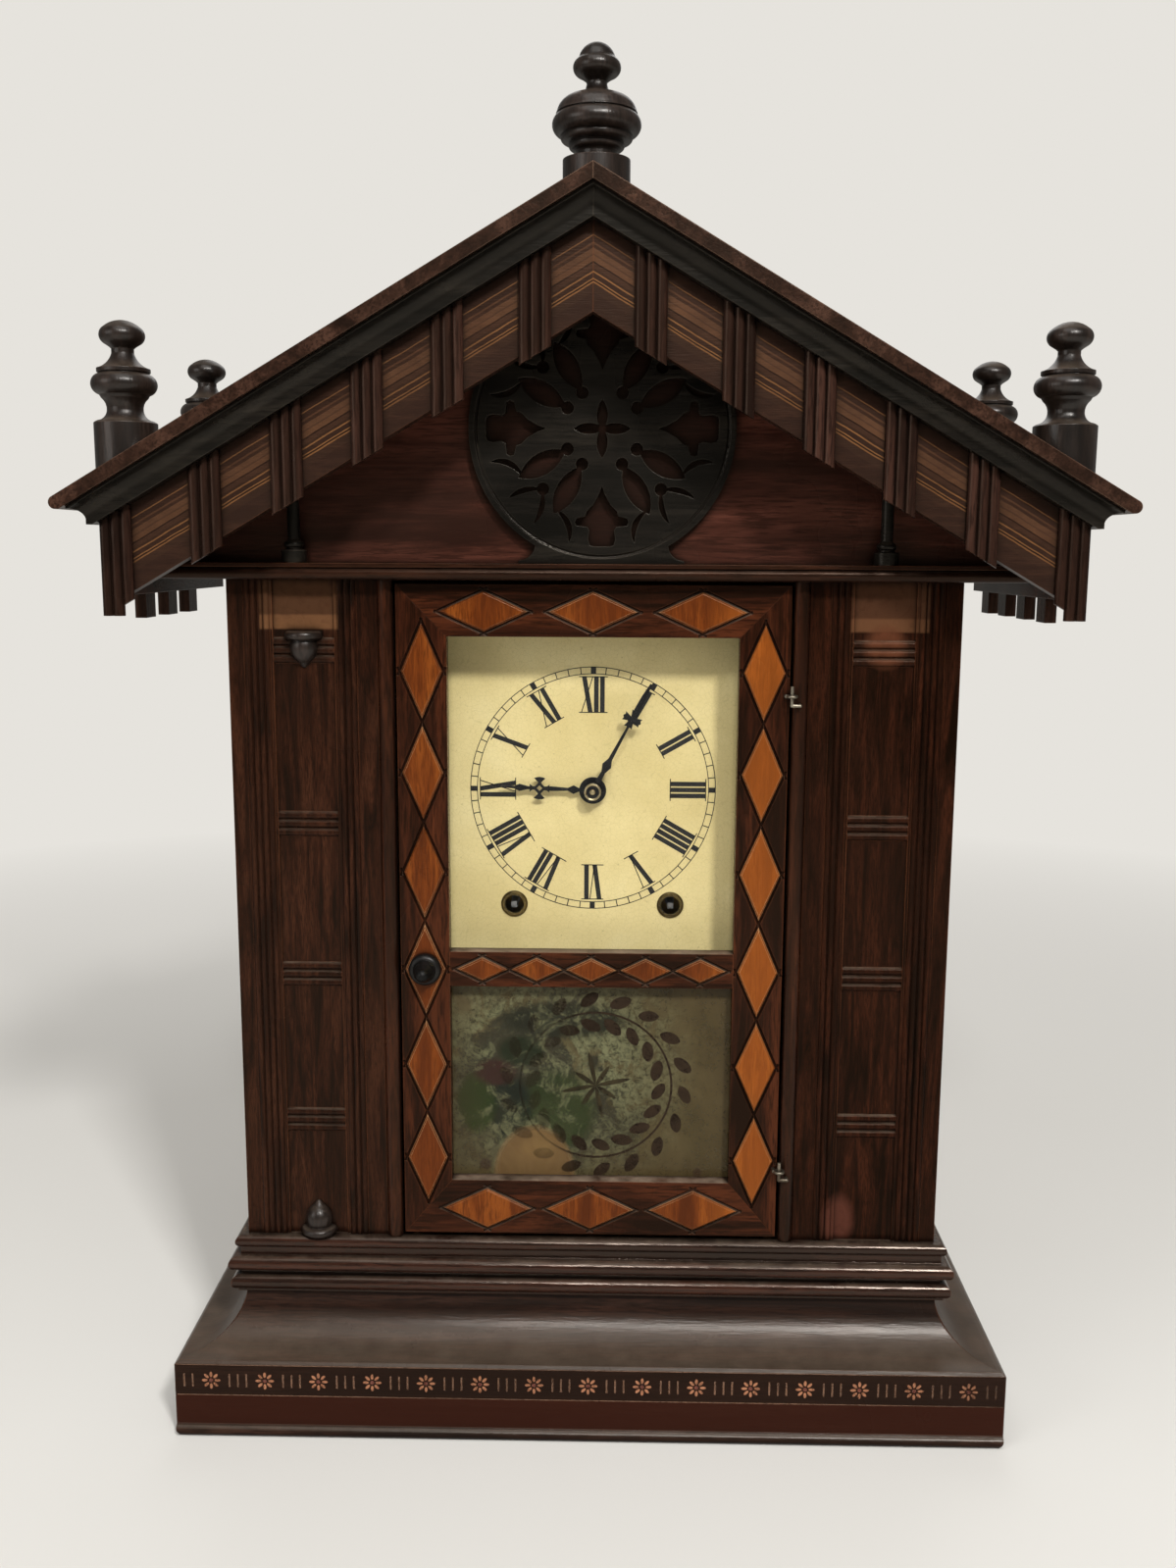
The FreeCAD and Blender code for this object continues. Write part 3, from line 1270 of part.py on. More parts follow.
spring_strip, spring_pitch, spring_halves, spring_wide = 0.5, 2.2, 21, 18
springs = []
for x, z in (time_spot, strike_spot):
    inside = spiral_edges(x, strike_second_y + 2.5, z, main + 0.3, spring_pitch, spring_halves)
    outside = spiral_edges(x, strike_second_y + 2.5, z, main + 0.3 + spring_strip, spring_pitch, spring_halves)
    caps = [Part.makeLine(inside[-1].Vertexes[-1].Point, outside[-1].Vertexes[-1].Point),
            Part.makeLine(outside[0].Vertexes[0].Point, inside[0].Vertexes[0].Point)]
    strip = Part.Wire(Part.__sortEdges__(inside + outside + caps))
    springs.append(Part.Face(strip).extrude(Vector(0, spring_wide, 0)))
solid("mainsprings", group(springs))

# going train
modules = (great_module, second_module, centre_module, third_module)
great_m, second_m, centre_m, third_m = [float(v) for v in modules]
second_parts = arbor(second_spot)
second_parts += lantern(second_spot, great_y, thick_wheel, pinion_leaves, great_m,
                        bearing(second_spot, time_spot))
second_phase = bearing(second_spot, centre_spot) + math.pi / second_teeth
second_parts.append(wheel(second_spot, second_y, thin_wheel, second_teeth, second_m, second_phase))
joined("second_wheel", second_parts)
centre_parts = [rod(0, centre_spot[1], float(dial_front) - 10, back_in + float(plate_thick) + 0.4, thin)]
centre_parts += lantern(centre_spot, second_y, thin_wheel, pinion_leaves, second_m,
                        bearing(centre_spot, second_spot))
centre_phase = bearing(centre_spot, third_spot) + math.pi / centre_teeth
centre_parts.append(wheel(centre_spot, centre_y, thin_wheel, centre_teeth, centre_m, centre_phase))
joined("centre_wheel", centre_parts)
third_parts = arbor(third_spot, thin * 0.8)
third_parts += lantern(third_spot, centre_y, thin_wheel, fine_leaves, centre_m, bearing(third_spot, centre_spot))
third_phase = bearing(third_spot, escape_spot) + math.pi / third_teeth
third_parts.append(wheel(third_spot, third_y, thin_wheel, third_teeth, third_m, third_phase, 4.0))
joined("third_wheel", third_parts)
escape_module = 0.72
ex, ez = escape_spot
escape_parts = [rod(ex, ez, escape_y, front_in + 0.4, thin),
                rod(ex, ez, front_in + 0.4, back_in - 0.5, thin * 0.7)]
escape_parts.append(rod(ex, ez, back_in - 0.5, back_in + float(plate_thick) + 0.4, thin * 0.6))
escape_parts += lantern(escape_spot, third_y, thin_wheel, fine_leaves, third_m,
                        bearing(escape_spot, third_spot))
escape_disc = toothed(ex, ez, escape_y, thin_wheel, escape_teeth, escape_module, 0, escape_steps)
escape_parts.append(crossed(escape_disc, ex, ez, escape_y, thin_wheel, 9.8, 3.4, 1.8))
joined("escape_wheel", escape_parts)

# verge with crutch on a stud of the front plate, in line with the pendulum's bending point
vx, vz = verge_spot
escape_tip = escape_teeth * escape_module / 2
pallet_gap = 1.8
band = rod(ex, ez, escape_y - 0.25, escape_y + 1.75, escape_tip + pallet_gap + 2)
band = band.cut(rod(ex, ez, escape_y - 2, escape_y + 4, escape_tip + pallet_gap))
keep_high = Part.makeBox(60, 6, 40, Vector(ex - 30, escape_y - 2, ez + escape_tip * 0.55))
verge = band.common(keep_high)
hub = rod(vx, vz, escape_y - 1.5, escape_y + 2.5, 3.4)
stud_radius = 1.2
crutch_y = float(pendulum_y) + 1.9
crutch_low = vz - 44
crutch_half = 0.7
crutch = Part.makeBox(1.4, 1.7, vz - 2 - crutch_low,
                      Vector(vx - crutch_half, crutch_y - crutch_half, crutch_low))
fork = [Part.makeCylinder(0.6, 5.2, Vector(vx + sx * 1.9, crutch_y + 0.4, crutch_low), Vector(0, -1, 0))
        for sx in (-1, 1)]
bar = Part.makeBox(5.6, 1.4, 1.4, Vector(vx - 2.8, crutch_y - crutch_half, crutch_low - crutch_half))
verge = verge.fuse([hub, crutch, bar] + fork).removeSplitter()
solid("verge", verge.cut(rod(vx, vz, escape_y - 6, escape_y + 8, stud_radius + turn)))
stud_reach = float(plate_front_y)
verge_stud = rod(vx, vz, escape_y - 2.2, stud_reach, stud_radius)
cock_y = float(pendulum_y) - 1.5
cock = Part.makeBox(5, stud_reach - cock_y, 4, Vector(vx - 2.5, cock_y, vz + 4))
minute_stud = rod(minute_spot[0], minute_spot[1], float(dial_front) + 1.8, stud_reach, stud_radius)
studs = doc.addObject("Part::Feature", "studs")
studs.Shape = group([verge_stud, cock, minute_stud])
keep("plate_front", boolean("plate_front", "Fuse", front_sheet, studs))

# pendulum: suspension strip, wire rod and brass bob
rod_radius = 0.9
strip_tall = 9.5
strip = Part.makeBox(4, 0.3, strip_tall, Vector(vx - 2, float(pendulum_y) - 0.15, vz - strip_tall + 3.5))
rod_low = float(bob_z) + float(bob_radius) * 0.35
wire_rod = Part.makeCylinder(rod_radius, vz - strip_tall + 5 - rod_low, Vector(vx, float(pendulum_y), rod_low))
solid("pendulum_rod", strip.fuse(wire_rod).removeSplitter())
bob_thick = bob_radius / 4.4
bob_profile = [(0, -bob_thick), (bob_radius * 0.3, -bob_thick, bob_radius * 1.9), (bob_radius, -0.6),
               (bob_radius, 0.6, bob_radius * 1.9), (bob_radius * 0.3, bob_thick), (0, bob_thick)]
bob = turned("bob_turning", bob_profile, (bob_x, pendulum_y, bob_z), True)
keep("bob", boolean("bob", "Cut", bob, parts["pendulum_rod"]))

# motion works: cannon and minute hand, minute wheel, hour wheel and hour hand
pipe_in, pipe_out = thin + turn, 2.4
cannon_y = float(dial_front) + 9
hour_y = float(dial_front) + 4
minute_y = float(dial_front) - 8
hour_hand_y = float(dial_front) - 4
cannon_m, hour_m = float(cannon_module), float(hour_module)
hand_thick = 0.8
cz = centre_spot[1]


# a hand drawn upright: hub ring, tapering shaft, diamond, open cross and a pointed blade
def blade(half, y):
    points = [Vector(x, y, z) for x, z in half] + [Vector(-x, y, z) for x, z in reversed(half) if x > 0]
    return Part.Face(Part.makePolygon(points + points[:1])).extrude(Vector(0, hand_thick, 0))


# half outlines run from the hub to the tip; the cross has one arm outline for each pair of arms
def hand(hub, stem, tip, cross_at, arms, y):
    pieces = [blade(stem, y), blade(tip, y), rod(0, 0, y, y + hand_thick, hub)]
    for i, arm in enumerate((arms[0], arms[1], arms[0], arms[1])):
        shape = blade(arm, y)
        shape.rotate(Vector(0, 0, 0), Vector(0, 1, 0), 90 * i)
        shape.translate(Vector(0, 0, cross_at))
        pieces.append(shape)
    return pieces[0].fuse(pieces[1:])


def set_hand(shape, degrees):
    shape.rotate(Vector(0, 0, 0), Vector(0, 1, 0), degrees)
    shape.translate(Vector(0, 0, cz))
    return shape


minute_angle, hour_angle = 28.0, 272.0
minute_tip, hour_tip = float(minute_long), float(hour_long)
minute_cross, hour_cross = minute_tip * 0.675, hour_tip * 0.575
bulge = 2.5
minute_stem = [(1.6, 3.5), (1.05, 11.5), (bulge, minute_cross * 0.36), (1.05, 19),
               (0.6, minute_cross - 4), (0.7, minute_cross)]
minute_end = [(1.1, minute_cross), (1.5, minute_cross + 5), (1.3, minute_cross + 13), (0.5, minute_tip)]
flared = [(0.8, 0), (2.3, 4.7), (1.1, 4.3), (0, 5.1)]
minute_blade = hand(4.6, minute_stem, minute_end, minute_cross, (flared, flared), minute_y)
minute_shape = set_hand(minute_blade, minute_angle)
hour_stem = [(1.6, 4), (0.9, 7.2), (bulge * 0.9, hour_cross * 0.36), (0.8, 12.8),
             (1.2, hour_cross - 6), (0.8, hour_cross)]
hour_end = [(0.9, hour_cross), (0.8, hour_cross + 6), (1.9, hour_cross + 10.4),
            (0.7, hour_cross + 13), (0.3, hour_tip)]
axe = [(1.9, 0), (0.9, 2.6), (0.8, 3.2), (2.9, 5.2), (1.6, 5.7), (0, 5.9)]
spread = [(1.9, 0), (0.9, 2.6), (0.9, 3.6), (2.1, 5.3), (0.8, 5)]
hour_shape = hand(7, hour_stem, hour_end, hour_cross, (spread, axe), hour_hand_y)
eyelet = [Vector(2, hour_hand_y - 1, hour_cross), Vector(0, hour_hand_y - 1, hour_cross + 2.2),
          Vector(-2, hour_hand_y - 1, hour_cross), Vector(0, hour_hand_y - 1, hour_cross - 2.2)]
eyelet_face = Part.Face(Part.makePolygon(eyelet + eyelet[:1]))
hour_shape = hour_shape.cut(eyelet_face.extrude(Vector(0, hand_thick + 2, 0)))
hour_shape = set_hand(hour_shape, hour_angle)
tube = rod(0, cz, minute_y, cannon_y + 4, pipe_out)
boss = rod(0, cz, minute_y - 1.6, minute_y + 1, 3.5)
minute_parts = [tube, boss, minute_shape]
minute_parts += lantern(centre_spot, cannon_y, 1.2, cannon_leaves, cannon_m, bearing(centre_spot, minute_spot))
cannon_bore = rod(0, cz, minute_y - 6, cannon_y + 8, pipe_in)
solid("minute_hand", minute_parts[0].fuse(minute_parts[1:]).removeSplitter().cut(cannon_bore))
minute_phase = bearing(minute_spot, centre_spot) + math.pi / minute_teeth
minute_wheel_parts = [wheel(minute_spot, cannon_y, 1.2, minute_teeth, cannon_m, minute_phase, 4.0),
                      rod(minute_spot[0], minute_spot[1], hour_y - 1.2, cannon_y + 2, 2.2)]
minute_wheel_parts += lantern(minute_spot, hour_y, 1.2, minute_leaves, hour_m, bearing(minute_spot, centre_spot))
minute_wheel = minute_wheel_parts[0].fuse(minute_wheel_parts[1:]).removeSplitter()
solid("minute_wheel", minute_wheel.cut(rod(minute_spot[0], minute_spot[1], 0, 60, stud_radius + turn)))
hour_phase = bearing(centre_spot, minute_spot) + math.pi / hour_teeth
hour_parts = [wheel(centre_spot, hour_y, 1.2, hour_teeth, hour_m, hour_phase, 5.6),
              rod(0, cz, hour_hand_y, hour_y + 2, 3.4),
              hour_shape]
hour_bore = rod(0, cz, hour_hand_y - 4, hour_y + 8, pipe_out + turn)
solid("hour_hand", hour_parts[0].fuse(hour_parts[1:]).removeSplitter().cut(hour_bore))

# strike train, hammer and gong
fly_m = float(fly_module)
strike_parts = arbor(strike_second_spot)
strike_parts += lantern(strike_second_spot, great_y, thick_wheel, pinion_leaves, great_m,
                        bearing(strike_second_spot, strike_spot))
strike_phase = bearing(strike_second_spot, strike_third_spot) + math.pi / second_teeth
strike_parts.append(wheel(strike_second_spot, strike_second_y, thin_wheel, second_teeth, second_m, strike_phase))
joined("strike_second_wheel", strike_parts)
strike_third = arbor(strike_third_spot)
strike_third += lantern(strike_third_spot, strike_second_y, thin_wheel, pinion_leaves, second_m,
                        bearing(strike_third_spot, strike_second_spot))
fly_phase = bearing(strike_third_spot, fly_spot) + math.pi / fly_teeth
strike_third.append(wheel(strike_third_spot, fly_y, thin_wheel, fly_teeth, fly_m, fly_phase, 4.0))
joined("strike_third_wheel", strike_third)
fx, fz = fly_spot
fly_parts = [rod(fx, fz, front_in + 0.5, back_in - 0.5, thin * 0.75)]
fly_parts.append(rod(fx, fz, float(plate_front_y) - 0.4, back_in + float(plate_thick) + 0.4, pivot))
fly_parts += lantern(fly_spot, fly_y, thin_wheel, fine_leaves, fly_m, bearing(fly_spot, strike_third_spot))
fly_parts.append(Part.makeBox(17, 14, 0.8, Vector(fx - 8.5, fly_y + 4.5, fz - 0.4)))
joined("fly", fly_parts)

hx, hz = hammer_spot
gong_reach = float(gong_inner) + 3.0 * float(gong_pitch)
hammer_y = (back_in + float(plate_thick) + float(back_face)) / 2 - 2
head_x = float(gong_x) - gong_reach - float(gong_wire) - 7
head = Vector(head_x, hammer_y, float(gong_z))
stem_dir = head - Vector(hx, hammer_y, hz)
hammer_parts = arbor(hammer_spot)
hammer_parts.append(rod(hx, hz, back_in + float(plate_thick) + 0.3, hammer_y + 1.5, thin))
hammer_parts.append(Part.makeCylinder(1.0, stem_dir.Length, Vector(hx, hammer_y, hz), stem_dir))
hammer_parts.append(Part.makeCylinder(4.2, 9, Vector(head.x - 4.5, head.y, head.z), Vector(1, 0, 0)))
hammer_parts.append(Part.makeCylinder(0.8, 9, Vector(hx, front_in + 12, hz), Vector(-0.5, 0, 0.8)))
joined("hammer", hammer_parts)

gong_halves = 8
gong_edges = spiral_edges(float(gong_x), hammer_y, float(gong_z),
                          float(gong_inner), float(gong_pitch), gong_halves)
gong_path = Part.Wire(gong_edges)
start = gong_edges[0].Vertexes[0].Point
if (start - Vector(float(gong_x) + float(gong_inner), hammer_y, float(gong_z))).Length > 1:
    start = gong_edges[0].Vertexes[-1].Point
ring = Part.Wire(Part.makeCircle(float(gong_wire), start, Vector(0, 0, 1)))
coil = gong_path.makePipeShell([ring], True, False)
marks = [e.discretize(12) for e in gong_edges]
least = min((a - b).Length for i, first in enumerate(marks) for second in marks[i + 2:]
            for a in first for b in second)
print("gong least gap %.2f" % (least - 2 * float(gong_wire)))
block_y = hammer_y - float(gong_wire) - 2
socket = Part.makeBox(9, float(back_face) - block_y, 12, Vector(start.x - 7.5, block_y, start.z - 10))
block_foot = Vector(start.x - 3, float(back_face) - 5, start.z - 4)
gong_block = socket.fuse(Part.makeCylinder(9, 5, block_foot, Vector(0, 1, 0)))
solid("gong", group([coil, gong_block.removeSplitter().cut(coil)]))

doc.recompute()
os.makedirs("parts", exist_ok=True)
for thing in doc.Objects:
    if "Invalid" in thing.State or "Error" in thing.State:
        raise RuntimeError("%s does not build" % thing.Label)
for label, thing in parts.items():
    if thing.Shape.isNull() or not thing.Shape.isValid():
        raise RuntimeError("%s has no valid shape" % label)
    thing.Shape.exportStep("parts/%s.step" % label)
print("%d parts written" % len(parts))
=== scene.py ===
import json
import math

import bpy
from mathutils import Matrix, Vector


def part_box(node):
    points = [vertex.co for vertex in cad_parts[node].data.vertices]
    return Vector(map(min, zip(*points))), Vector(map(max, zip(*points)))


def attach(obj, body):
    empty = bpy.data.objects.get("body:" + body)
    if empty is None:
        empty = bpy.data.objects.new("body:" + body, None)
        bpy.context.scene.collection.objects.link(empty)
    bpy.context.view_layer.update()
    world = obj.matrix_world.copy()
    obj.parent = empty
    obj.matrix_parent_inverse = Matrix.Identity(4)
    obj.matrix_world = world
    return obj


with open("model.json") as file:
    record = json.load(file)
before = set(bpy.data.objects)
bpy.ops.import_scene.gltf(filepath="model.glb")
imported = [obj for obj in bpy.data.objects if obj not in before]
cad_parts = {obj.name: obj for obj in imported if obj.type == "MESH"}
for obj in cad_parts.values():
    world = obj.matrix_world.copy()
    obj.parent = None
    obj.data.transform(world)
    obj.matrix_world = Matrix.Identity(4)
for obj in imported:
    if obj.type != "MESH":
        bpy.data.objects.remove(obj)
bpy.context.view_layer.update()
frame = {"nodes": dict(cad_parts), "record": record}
nodes = frame["nodes"]
mm = 0.001


def tint(red, green, blue):
    # written 0 to 255 as on a colour card, handed to the shader as linear light
    def straight(value):
        share = value / 255
        return share / 12.92 if share <= 0.04045 else ((share + 0.055) / 1.055) ** 2.4
    return (straight(red), straight(green), straight(blue), 1)


# a small bench for wiring node materials
class Finish:
    def __init__(self, name):
        self.material = bpy.data.materials.new(name)
        self.material.use_nodes = True
        self.tree = self.material.node_tree
        self.shader = self.tree.nodes["Principled BSDF"]
        self.place = self.node("ShaderNodeTexCoord").outputs["Object"]

    def node(self, kind, **settings):
        made = self.tree.nodes.new(kind)
        for key, value in settings.items():
            setattr(made, key, value)
        return made

    def feed(self, socket, value):
        if isinstance(value, bpy.types.NodeSocket):
            self.tree.links.new(value, socket)
        else:
            socket.default_value = value

    def set(self, **sockets):
        for key, value in sockets.items():
            self.feed(self.shader.inputs[key.replace("_", " ")], value)

    def math(self, operation, a, b=0.0, clamp=False):
        made = self.node("ShaderNodeMath", operation=operation, use_clamp=clamp)
        self.feed(made.inputs[0], a)
        self.feed(made.inputs[1], b)
        return made.outputs[0]

    # product of two or more values
    def times(self, product, *others):
        for other in others:
            product = self.math("MULTIPLY", product, other)
        return product

    # the piece's own place, scaled along each axis
    def spread(self, scale):
        made = self.node("ShaderNodeMapping")
        self.feed(made.inputs["Vector"], self.place)
        made.inputs["Scale"].default_value = scale
        return made.outputs[0]

    def noise(self, where, scale, detail, rough, twist=0.0):
        made = self.node("ShaderNodeTexNoise")
        self.feed(made.inputs["Vector"], where)
        made.inputs["Scale"].default_value = scale
        made.inputs["Detail"].default_value = detail
        made.inputs["Roughness"].default_value = rough
        made.inputs["Distortion"].default_value = twist
        return made.outputs["Fac"]

    def ramp(self, value, *stops):
        made = self.node("ShaderNodeValToRGB")
        self.feed(made.inputs[0], value)
        band = made.color_ramp
        while len(band.elements) < len(stops):
            band.elements.new(0.5)
        for element, (at, colour) in zip(band.elements, stops):
            element.position = at
            element.color = colour
        return made.outputs["Color"]

    def reach(self, value, low, high, to=(0.0, 1.0)):
        made = self.node("ShaderNodeMapRange", clamp=True)
        self.feed(made.inputs[0], value)
        for i, number in enumerate((low, high, *to)):
            made.inputs[i + 1].default_value = number
        return made.outputs[0]

    def mix(self, share, a, b):
        made = self.node("ShaderNodeMix", data_type="RGBA")
        self.feed(made.inputs[0], share)
        self.feed(made.inputs[6], a)
        self.feed(made.inputs[7], b)
        return made.outputs[2]

    def axes(self):
        made = self.node("ShaderNodeSeparateXYZ")
        self.feed(made.inputs[0], self.place)
        return made.outputs

    def facing(self):
        made = self.node("ShaderNodeSeparateXYZ")
        self.feed(made.inputs[0], self.node("ShaderNodeNewGeometry").outputs["Normal"])
        return made.outputs

    # 1 on what faces the front, 0 on sides and back
    def frontOnly(self):
        return self.reach(self.facing()[1], -0.05, -0.3)

    # 1 inside a soft-edged rectangle of the front view, 0 outside
    def patch(self, low, high, soft):
        x, _, z = self.axes()
        sides = []
        for axis, k in ((x, 0), (z, 1)):
            sides.append(self.reach(axis, low[k] - soft, low[k] + soft))
            sides.append(self.reach(axis, high[k] + soft, high[k] - soft))
        return self.times(*sides)

    # 1 inside a soft-edged ellipse of the front view, 0 outside
    def oval(self, centre, half, soft):
        x, _, z = self.axes()
        across = self.math("DIVIDE", self.math("SUBTRACT", x, centre[0]), half[0])
        up = self.math("DIVIDE", self.math("SUBTRACT", z, centre[1]), half[1])
        away = self.math("SQRT", self.math("ADD", self.times(across, across), self.times(up, up)))
        return self.reach(away, 1 + soft, 1 - soft)

    # rounded arris for the shading, and how much of an edge a spot is
    def arris(self, radius):
        eased = self.node("ShaderNodeBevel", samples=4)
        eased.inputs["Radius"].default_value = radius
        dot = self.node("ShaderNodeVectorMath", operation="DOT_PRODUCT")
        self.feed(dot.inputs[0], eased.outputs[0])
        self.feed(dot.inputs[1], self.node("ShaderNodeNewGeometry").outputs["True Normal"])
        return eased.outputs[0], self.reach(dot.outputs["Value"], 0.985, 0.86)

    # 1 in narrow hollows and inner corners, 0 on open faces
    def hollow(self, reach):
        made = self.node("ShaderNodeAmbientOcclusion", samples=6, only_local=False)
        made.inputs["Distance"].default_value = reach
        return self.reach(made.outputs["AO"], 0.93, 0.5)

    def bump(self, height, strength, depth, normal=None):
        made = self.node("ShaderNodeBump")
        made.inputs["Strength"].default_value = strength
        made.inputs["Distance"].default_value = depth
        self.feed(made.inputs["Height"], height)
        if normal is not None:
            self.feed(made.inputs["Normal"], normal)
        self.feed(self.shader.inputs["Normal"], made.outputs[0])


grainAlong = {"x": (0.09, 1, 1), "y": (1, 0.09, 1), "z": (1, 1, 0.09)}
poreFine = 12  # how much finer the pores are than the figure
dustShade = tint(140, 122, 104)


# stained wood: figure, pores, blotches, rubbed arrises with painted edge highlight, painted shade in hollows
# with grime, and dust with painted sheen on what faces up
def stainedWood(name, recipe, overlay=None):
    wood = Finish(name)
    figureScale = [k * recipe["figure"] for k in grainAlong[recipe["grain"]]]
    figure = wood.noise(wood.spread(figureScale), 1, 7, 0.66, 0.7)
    pores = wood.noise(wood.spread([k * poreFine for k in figureScale]), 1, 3, 0.6)
    blotch = wood.noise(wood.place, 9, 4, 0.6, 0.4)
    half = recipe["spread"]
    colour = wood.ramp(figure, (0.5 - half, recipe["dark"]), (0.5, recipe["middle"]),
                       (0.5 + half, recipe["light"]))
    colour = wood.mix(wood.reach(pores, 0.52, 0.38, (0, 0.7)), colour, recipe["dark"])
    colour = wood.mix(wood.reach(blotch, 0.35, 0.72, (0, recipe["blotched"])), colour, recipe["stain"])
    if overlay:
        colour = overlay(wood, colour)
    normal, edge = wood.arris(recipe["arris"])
    # painted highlight: arrises are lightened towards a pale colour, as rubbed wear and as edge highlight
    rubbed = wood.times(edge, wood.reach(blotch, 0.38, 0.66, (0.05, recipe["rubbed"])))
    colour = wood.mix(rubbed, colour, recipe["bare"])
    # painted sheen: what faces up is lightened towards a dust colour, as dust and as sheen
    rise = wood.facing()[2]
    up = wood.reach(rise, recipe["dustFrom"], 0.98, (0, recipe["dust"]))
    lay = wood.reach(wood.noise(wood.place, 60, 5, 0.7), 0.3, 0.65, (recipe["dustEven"], 1))
    dust = wood.times(up, lay)
    colour = wood.mix(dust, colour, dustShade)
    # painted shade: hollows and inner corners found by ambient occlusion are darkened, as shade and as grime
    grime = wood.times(wood.hollow(0.004), recipe["grime"])
    dull = wood.math("ADD", wood.reach(blotch, 0.3, 0.75, recipe["gloss"]), wood.times(dust, 0.5), True)
    wood.set(Base_Color=wood.mix(grime, colour, recipe["grimeShade"]), Roughness=dull,
             Specular_IOR_Level=recipe["shine"], Specular_Tint=recipe["varnish"])
    if "topShine" in recipe:
        wood.set(Specular_IOR_Level=wood.reach(rise, 0.1, 0.45, (recipe["shine"], recipe["topShine"])))
    wood.bump(wood.math("ADD", pores, wood.times(figure, 0.5)), 0.22, 0.0005, normal)
    return wood.material


# the edge, top-face and hollow colours here hold painted highlight, sheen and shade as well as wear, dust and
# grime
walnut = dict(grain="z", figure=70, spread=0.14, dark=tint(18, 8, 4), middle=tint(42, 20, 11),
              light=tint(72, 37, 21), stain=tint(27, 15, 9), blotched=0.5, bare=tint(126, 74, 46), rubbed=0.5,
              arris=0.0007, gloss=(0.18, 0.36), shine=0.19, varnish=tint(255, 216, 188), dust=0.25,
              dustFrom=0.55, dustEven=0, grime=0.85, grimeShade=tint(12, 7, 5))


# a stain that differs from another one in a few values
def look(base=walnut, **changes):
    made = dict(base)
    made.update(changes)
    return made


# metals: tarnish in cloudy patches and fine scratches
def worn(name, bright, dull, gloss, metal=1.0):
    made = Finish(name)
    cloud = made.noise(made.place, 45, 5, 0.65, 0.5)
    scratch = made.noise(made.spread((900, 900, 60)), 1, 3, 0.6)
    colour = made.mix(made.reach(cloud, 0.35, 0.65), bright, dull)
    made.set(Base_Color=colour, Metallic=metal, Roughness=made.reach(cloud, 0.3, 0.7, gloss))
    normal, _ = made.arris(0.0003)
    made.bump(scratch, 0.08, 0.0002, normal)
    return made.material


# finishes of the case
finishes = {}
finishes["dark_wood"] = stainedWood("dark walnut stain", look(grain="x"))
finishes["case_sides"] = stainedWood("case side stain", look())
shelfLook = look(grain="x", dark=tint(16, 8, 5), middle=tint(31, 16, 10), light=tint(50, 27, 17), shine=0.16)
finishes["top_shelf"] = stainedWood("gable shelf stain", shelfLook)
beadLook = look(grain="x", dark=tint(18, 10, 7), middle=tint(36, 19, 13), light=tint(58, 30, 20),
                gloss=(0.12, 0.22), shine=0.4, varnish=tint(255, 232, 214))
finishes["base_beads"] = stainedWood("polished bead stain", beadLook)
roofLook = look(grain="y", dark=tint(23, 14, 10), middle=tint(44, 28, 21), light=tint(68, 46, 36),
                bare=tint(122, 96, 78), blotched=0.3, rubbed=0.85, gloss=(0.2, 0.38))
finishes["roof_wood"] = stainedWood("roof board stain", roofLook)
ebony = look(grain="x", dark=tint(10, 9, 7), middle=tint(21, 18, 15), light=tint(34, 30, 25),
             stain=tint(16, 15, 12), bare=tint(92, 84, 72), gloss=(0.2, 0.38), dust=0.3,
             varnish=tint(255, 243, 226))
finishes["ebonised"] = stainedWood("ebonised wood", ebony)
gableLook = look(grain="x", dark=tint(36, 18, 13), middle=tint(62, 33, 25), light=tint(88, 50, 39),
                 stain=tint(44, 28, 22), blotched=0.6, gloss=(0.22, 0.36))
rosetteLow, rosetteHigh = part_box("rosette")
rosetteGhost = dict(share=0.49, soft=0.02, cover=0.85, shade=tint(22, 13, 10))


# painted shade: the panel behind the rosette is darkened inside an oval round its middle, on front faces
def rosetteShade(wood, colour):
    middle = (rosetteLow + rosetteHigh) * 0.5
    half = (rosetteHigh.x - rosetteLow.x) * rosetteGhost["share"]
    inside = wood.oval((middle.x, middle.z), (half, half), rosetteGhost["soft"])
    inside = wood.times(inside, wood.frontOnly(), rosetteGhost["cover"])
    return wood.mix(inside, colour, rosetteGhost["shade"])


finishes["gable_wood"] = stainedWood("gable veneer", gableLook, rosetteShade)
turnedLook = look(dark=tint(15, 12, 10), middle=tint(32, 25, 21), light=tint(49, 39, 34),
                  bare=tint(108, 86, 72), gloss=(0.24, 0.4), shine=0.34, varnish=tint(255, 250, 244))
finishes["finial_wood"] = stainedWood("turned dark wood", turnedLook)
blockLook = look(dark=tint(22, 13, 10), middle=tint(42, 26, 20), light=tint(62, 40, 32),
                 bare=tint(106, 76, 60), rubbed=0.6)
finishes["blocks"] = stainedWood("reeded block stain", blockLook)
doorLook = look(spread=0.11, dark=tint(18, 7, 3), middle=tint(45, 20, 10), light=tint(74, 36, 19),
                blotched=0.35, shine=0.13)
finishes["door_wood"] = stainedWood("door stain", doorLook)
# rails: heavy dust with painted sheen on their ledges
finishes["door_rails"] = stainedWood("door rail stain", look(doorLook, grain="x", dust=0.9))
# lozenge arrises go to a very pale colour: rubbed wear and painted edge highlight
lozengeLook = look(figure=110, dark=tint(66, 28, 7), middle=tint(100, 47, 13), light=tint(128, 67, 22),
                   stain=tint(86, 38, 11), blotched=0.6, bare=tint(214, 166, 118), rubbed=1.0, arris=0.0005,
                   gloss=(0.24, 0.4), dust=0.1)
lozengeFade = dict(right=(0.055, 0.07), rightCover=0.28, rightShade=tint(172, 94, 32),
                   top=(0.425, 0.435), topCover=0.4, topShade=tint(74, 32, 9))


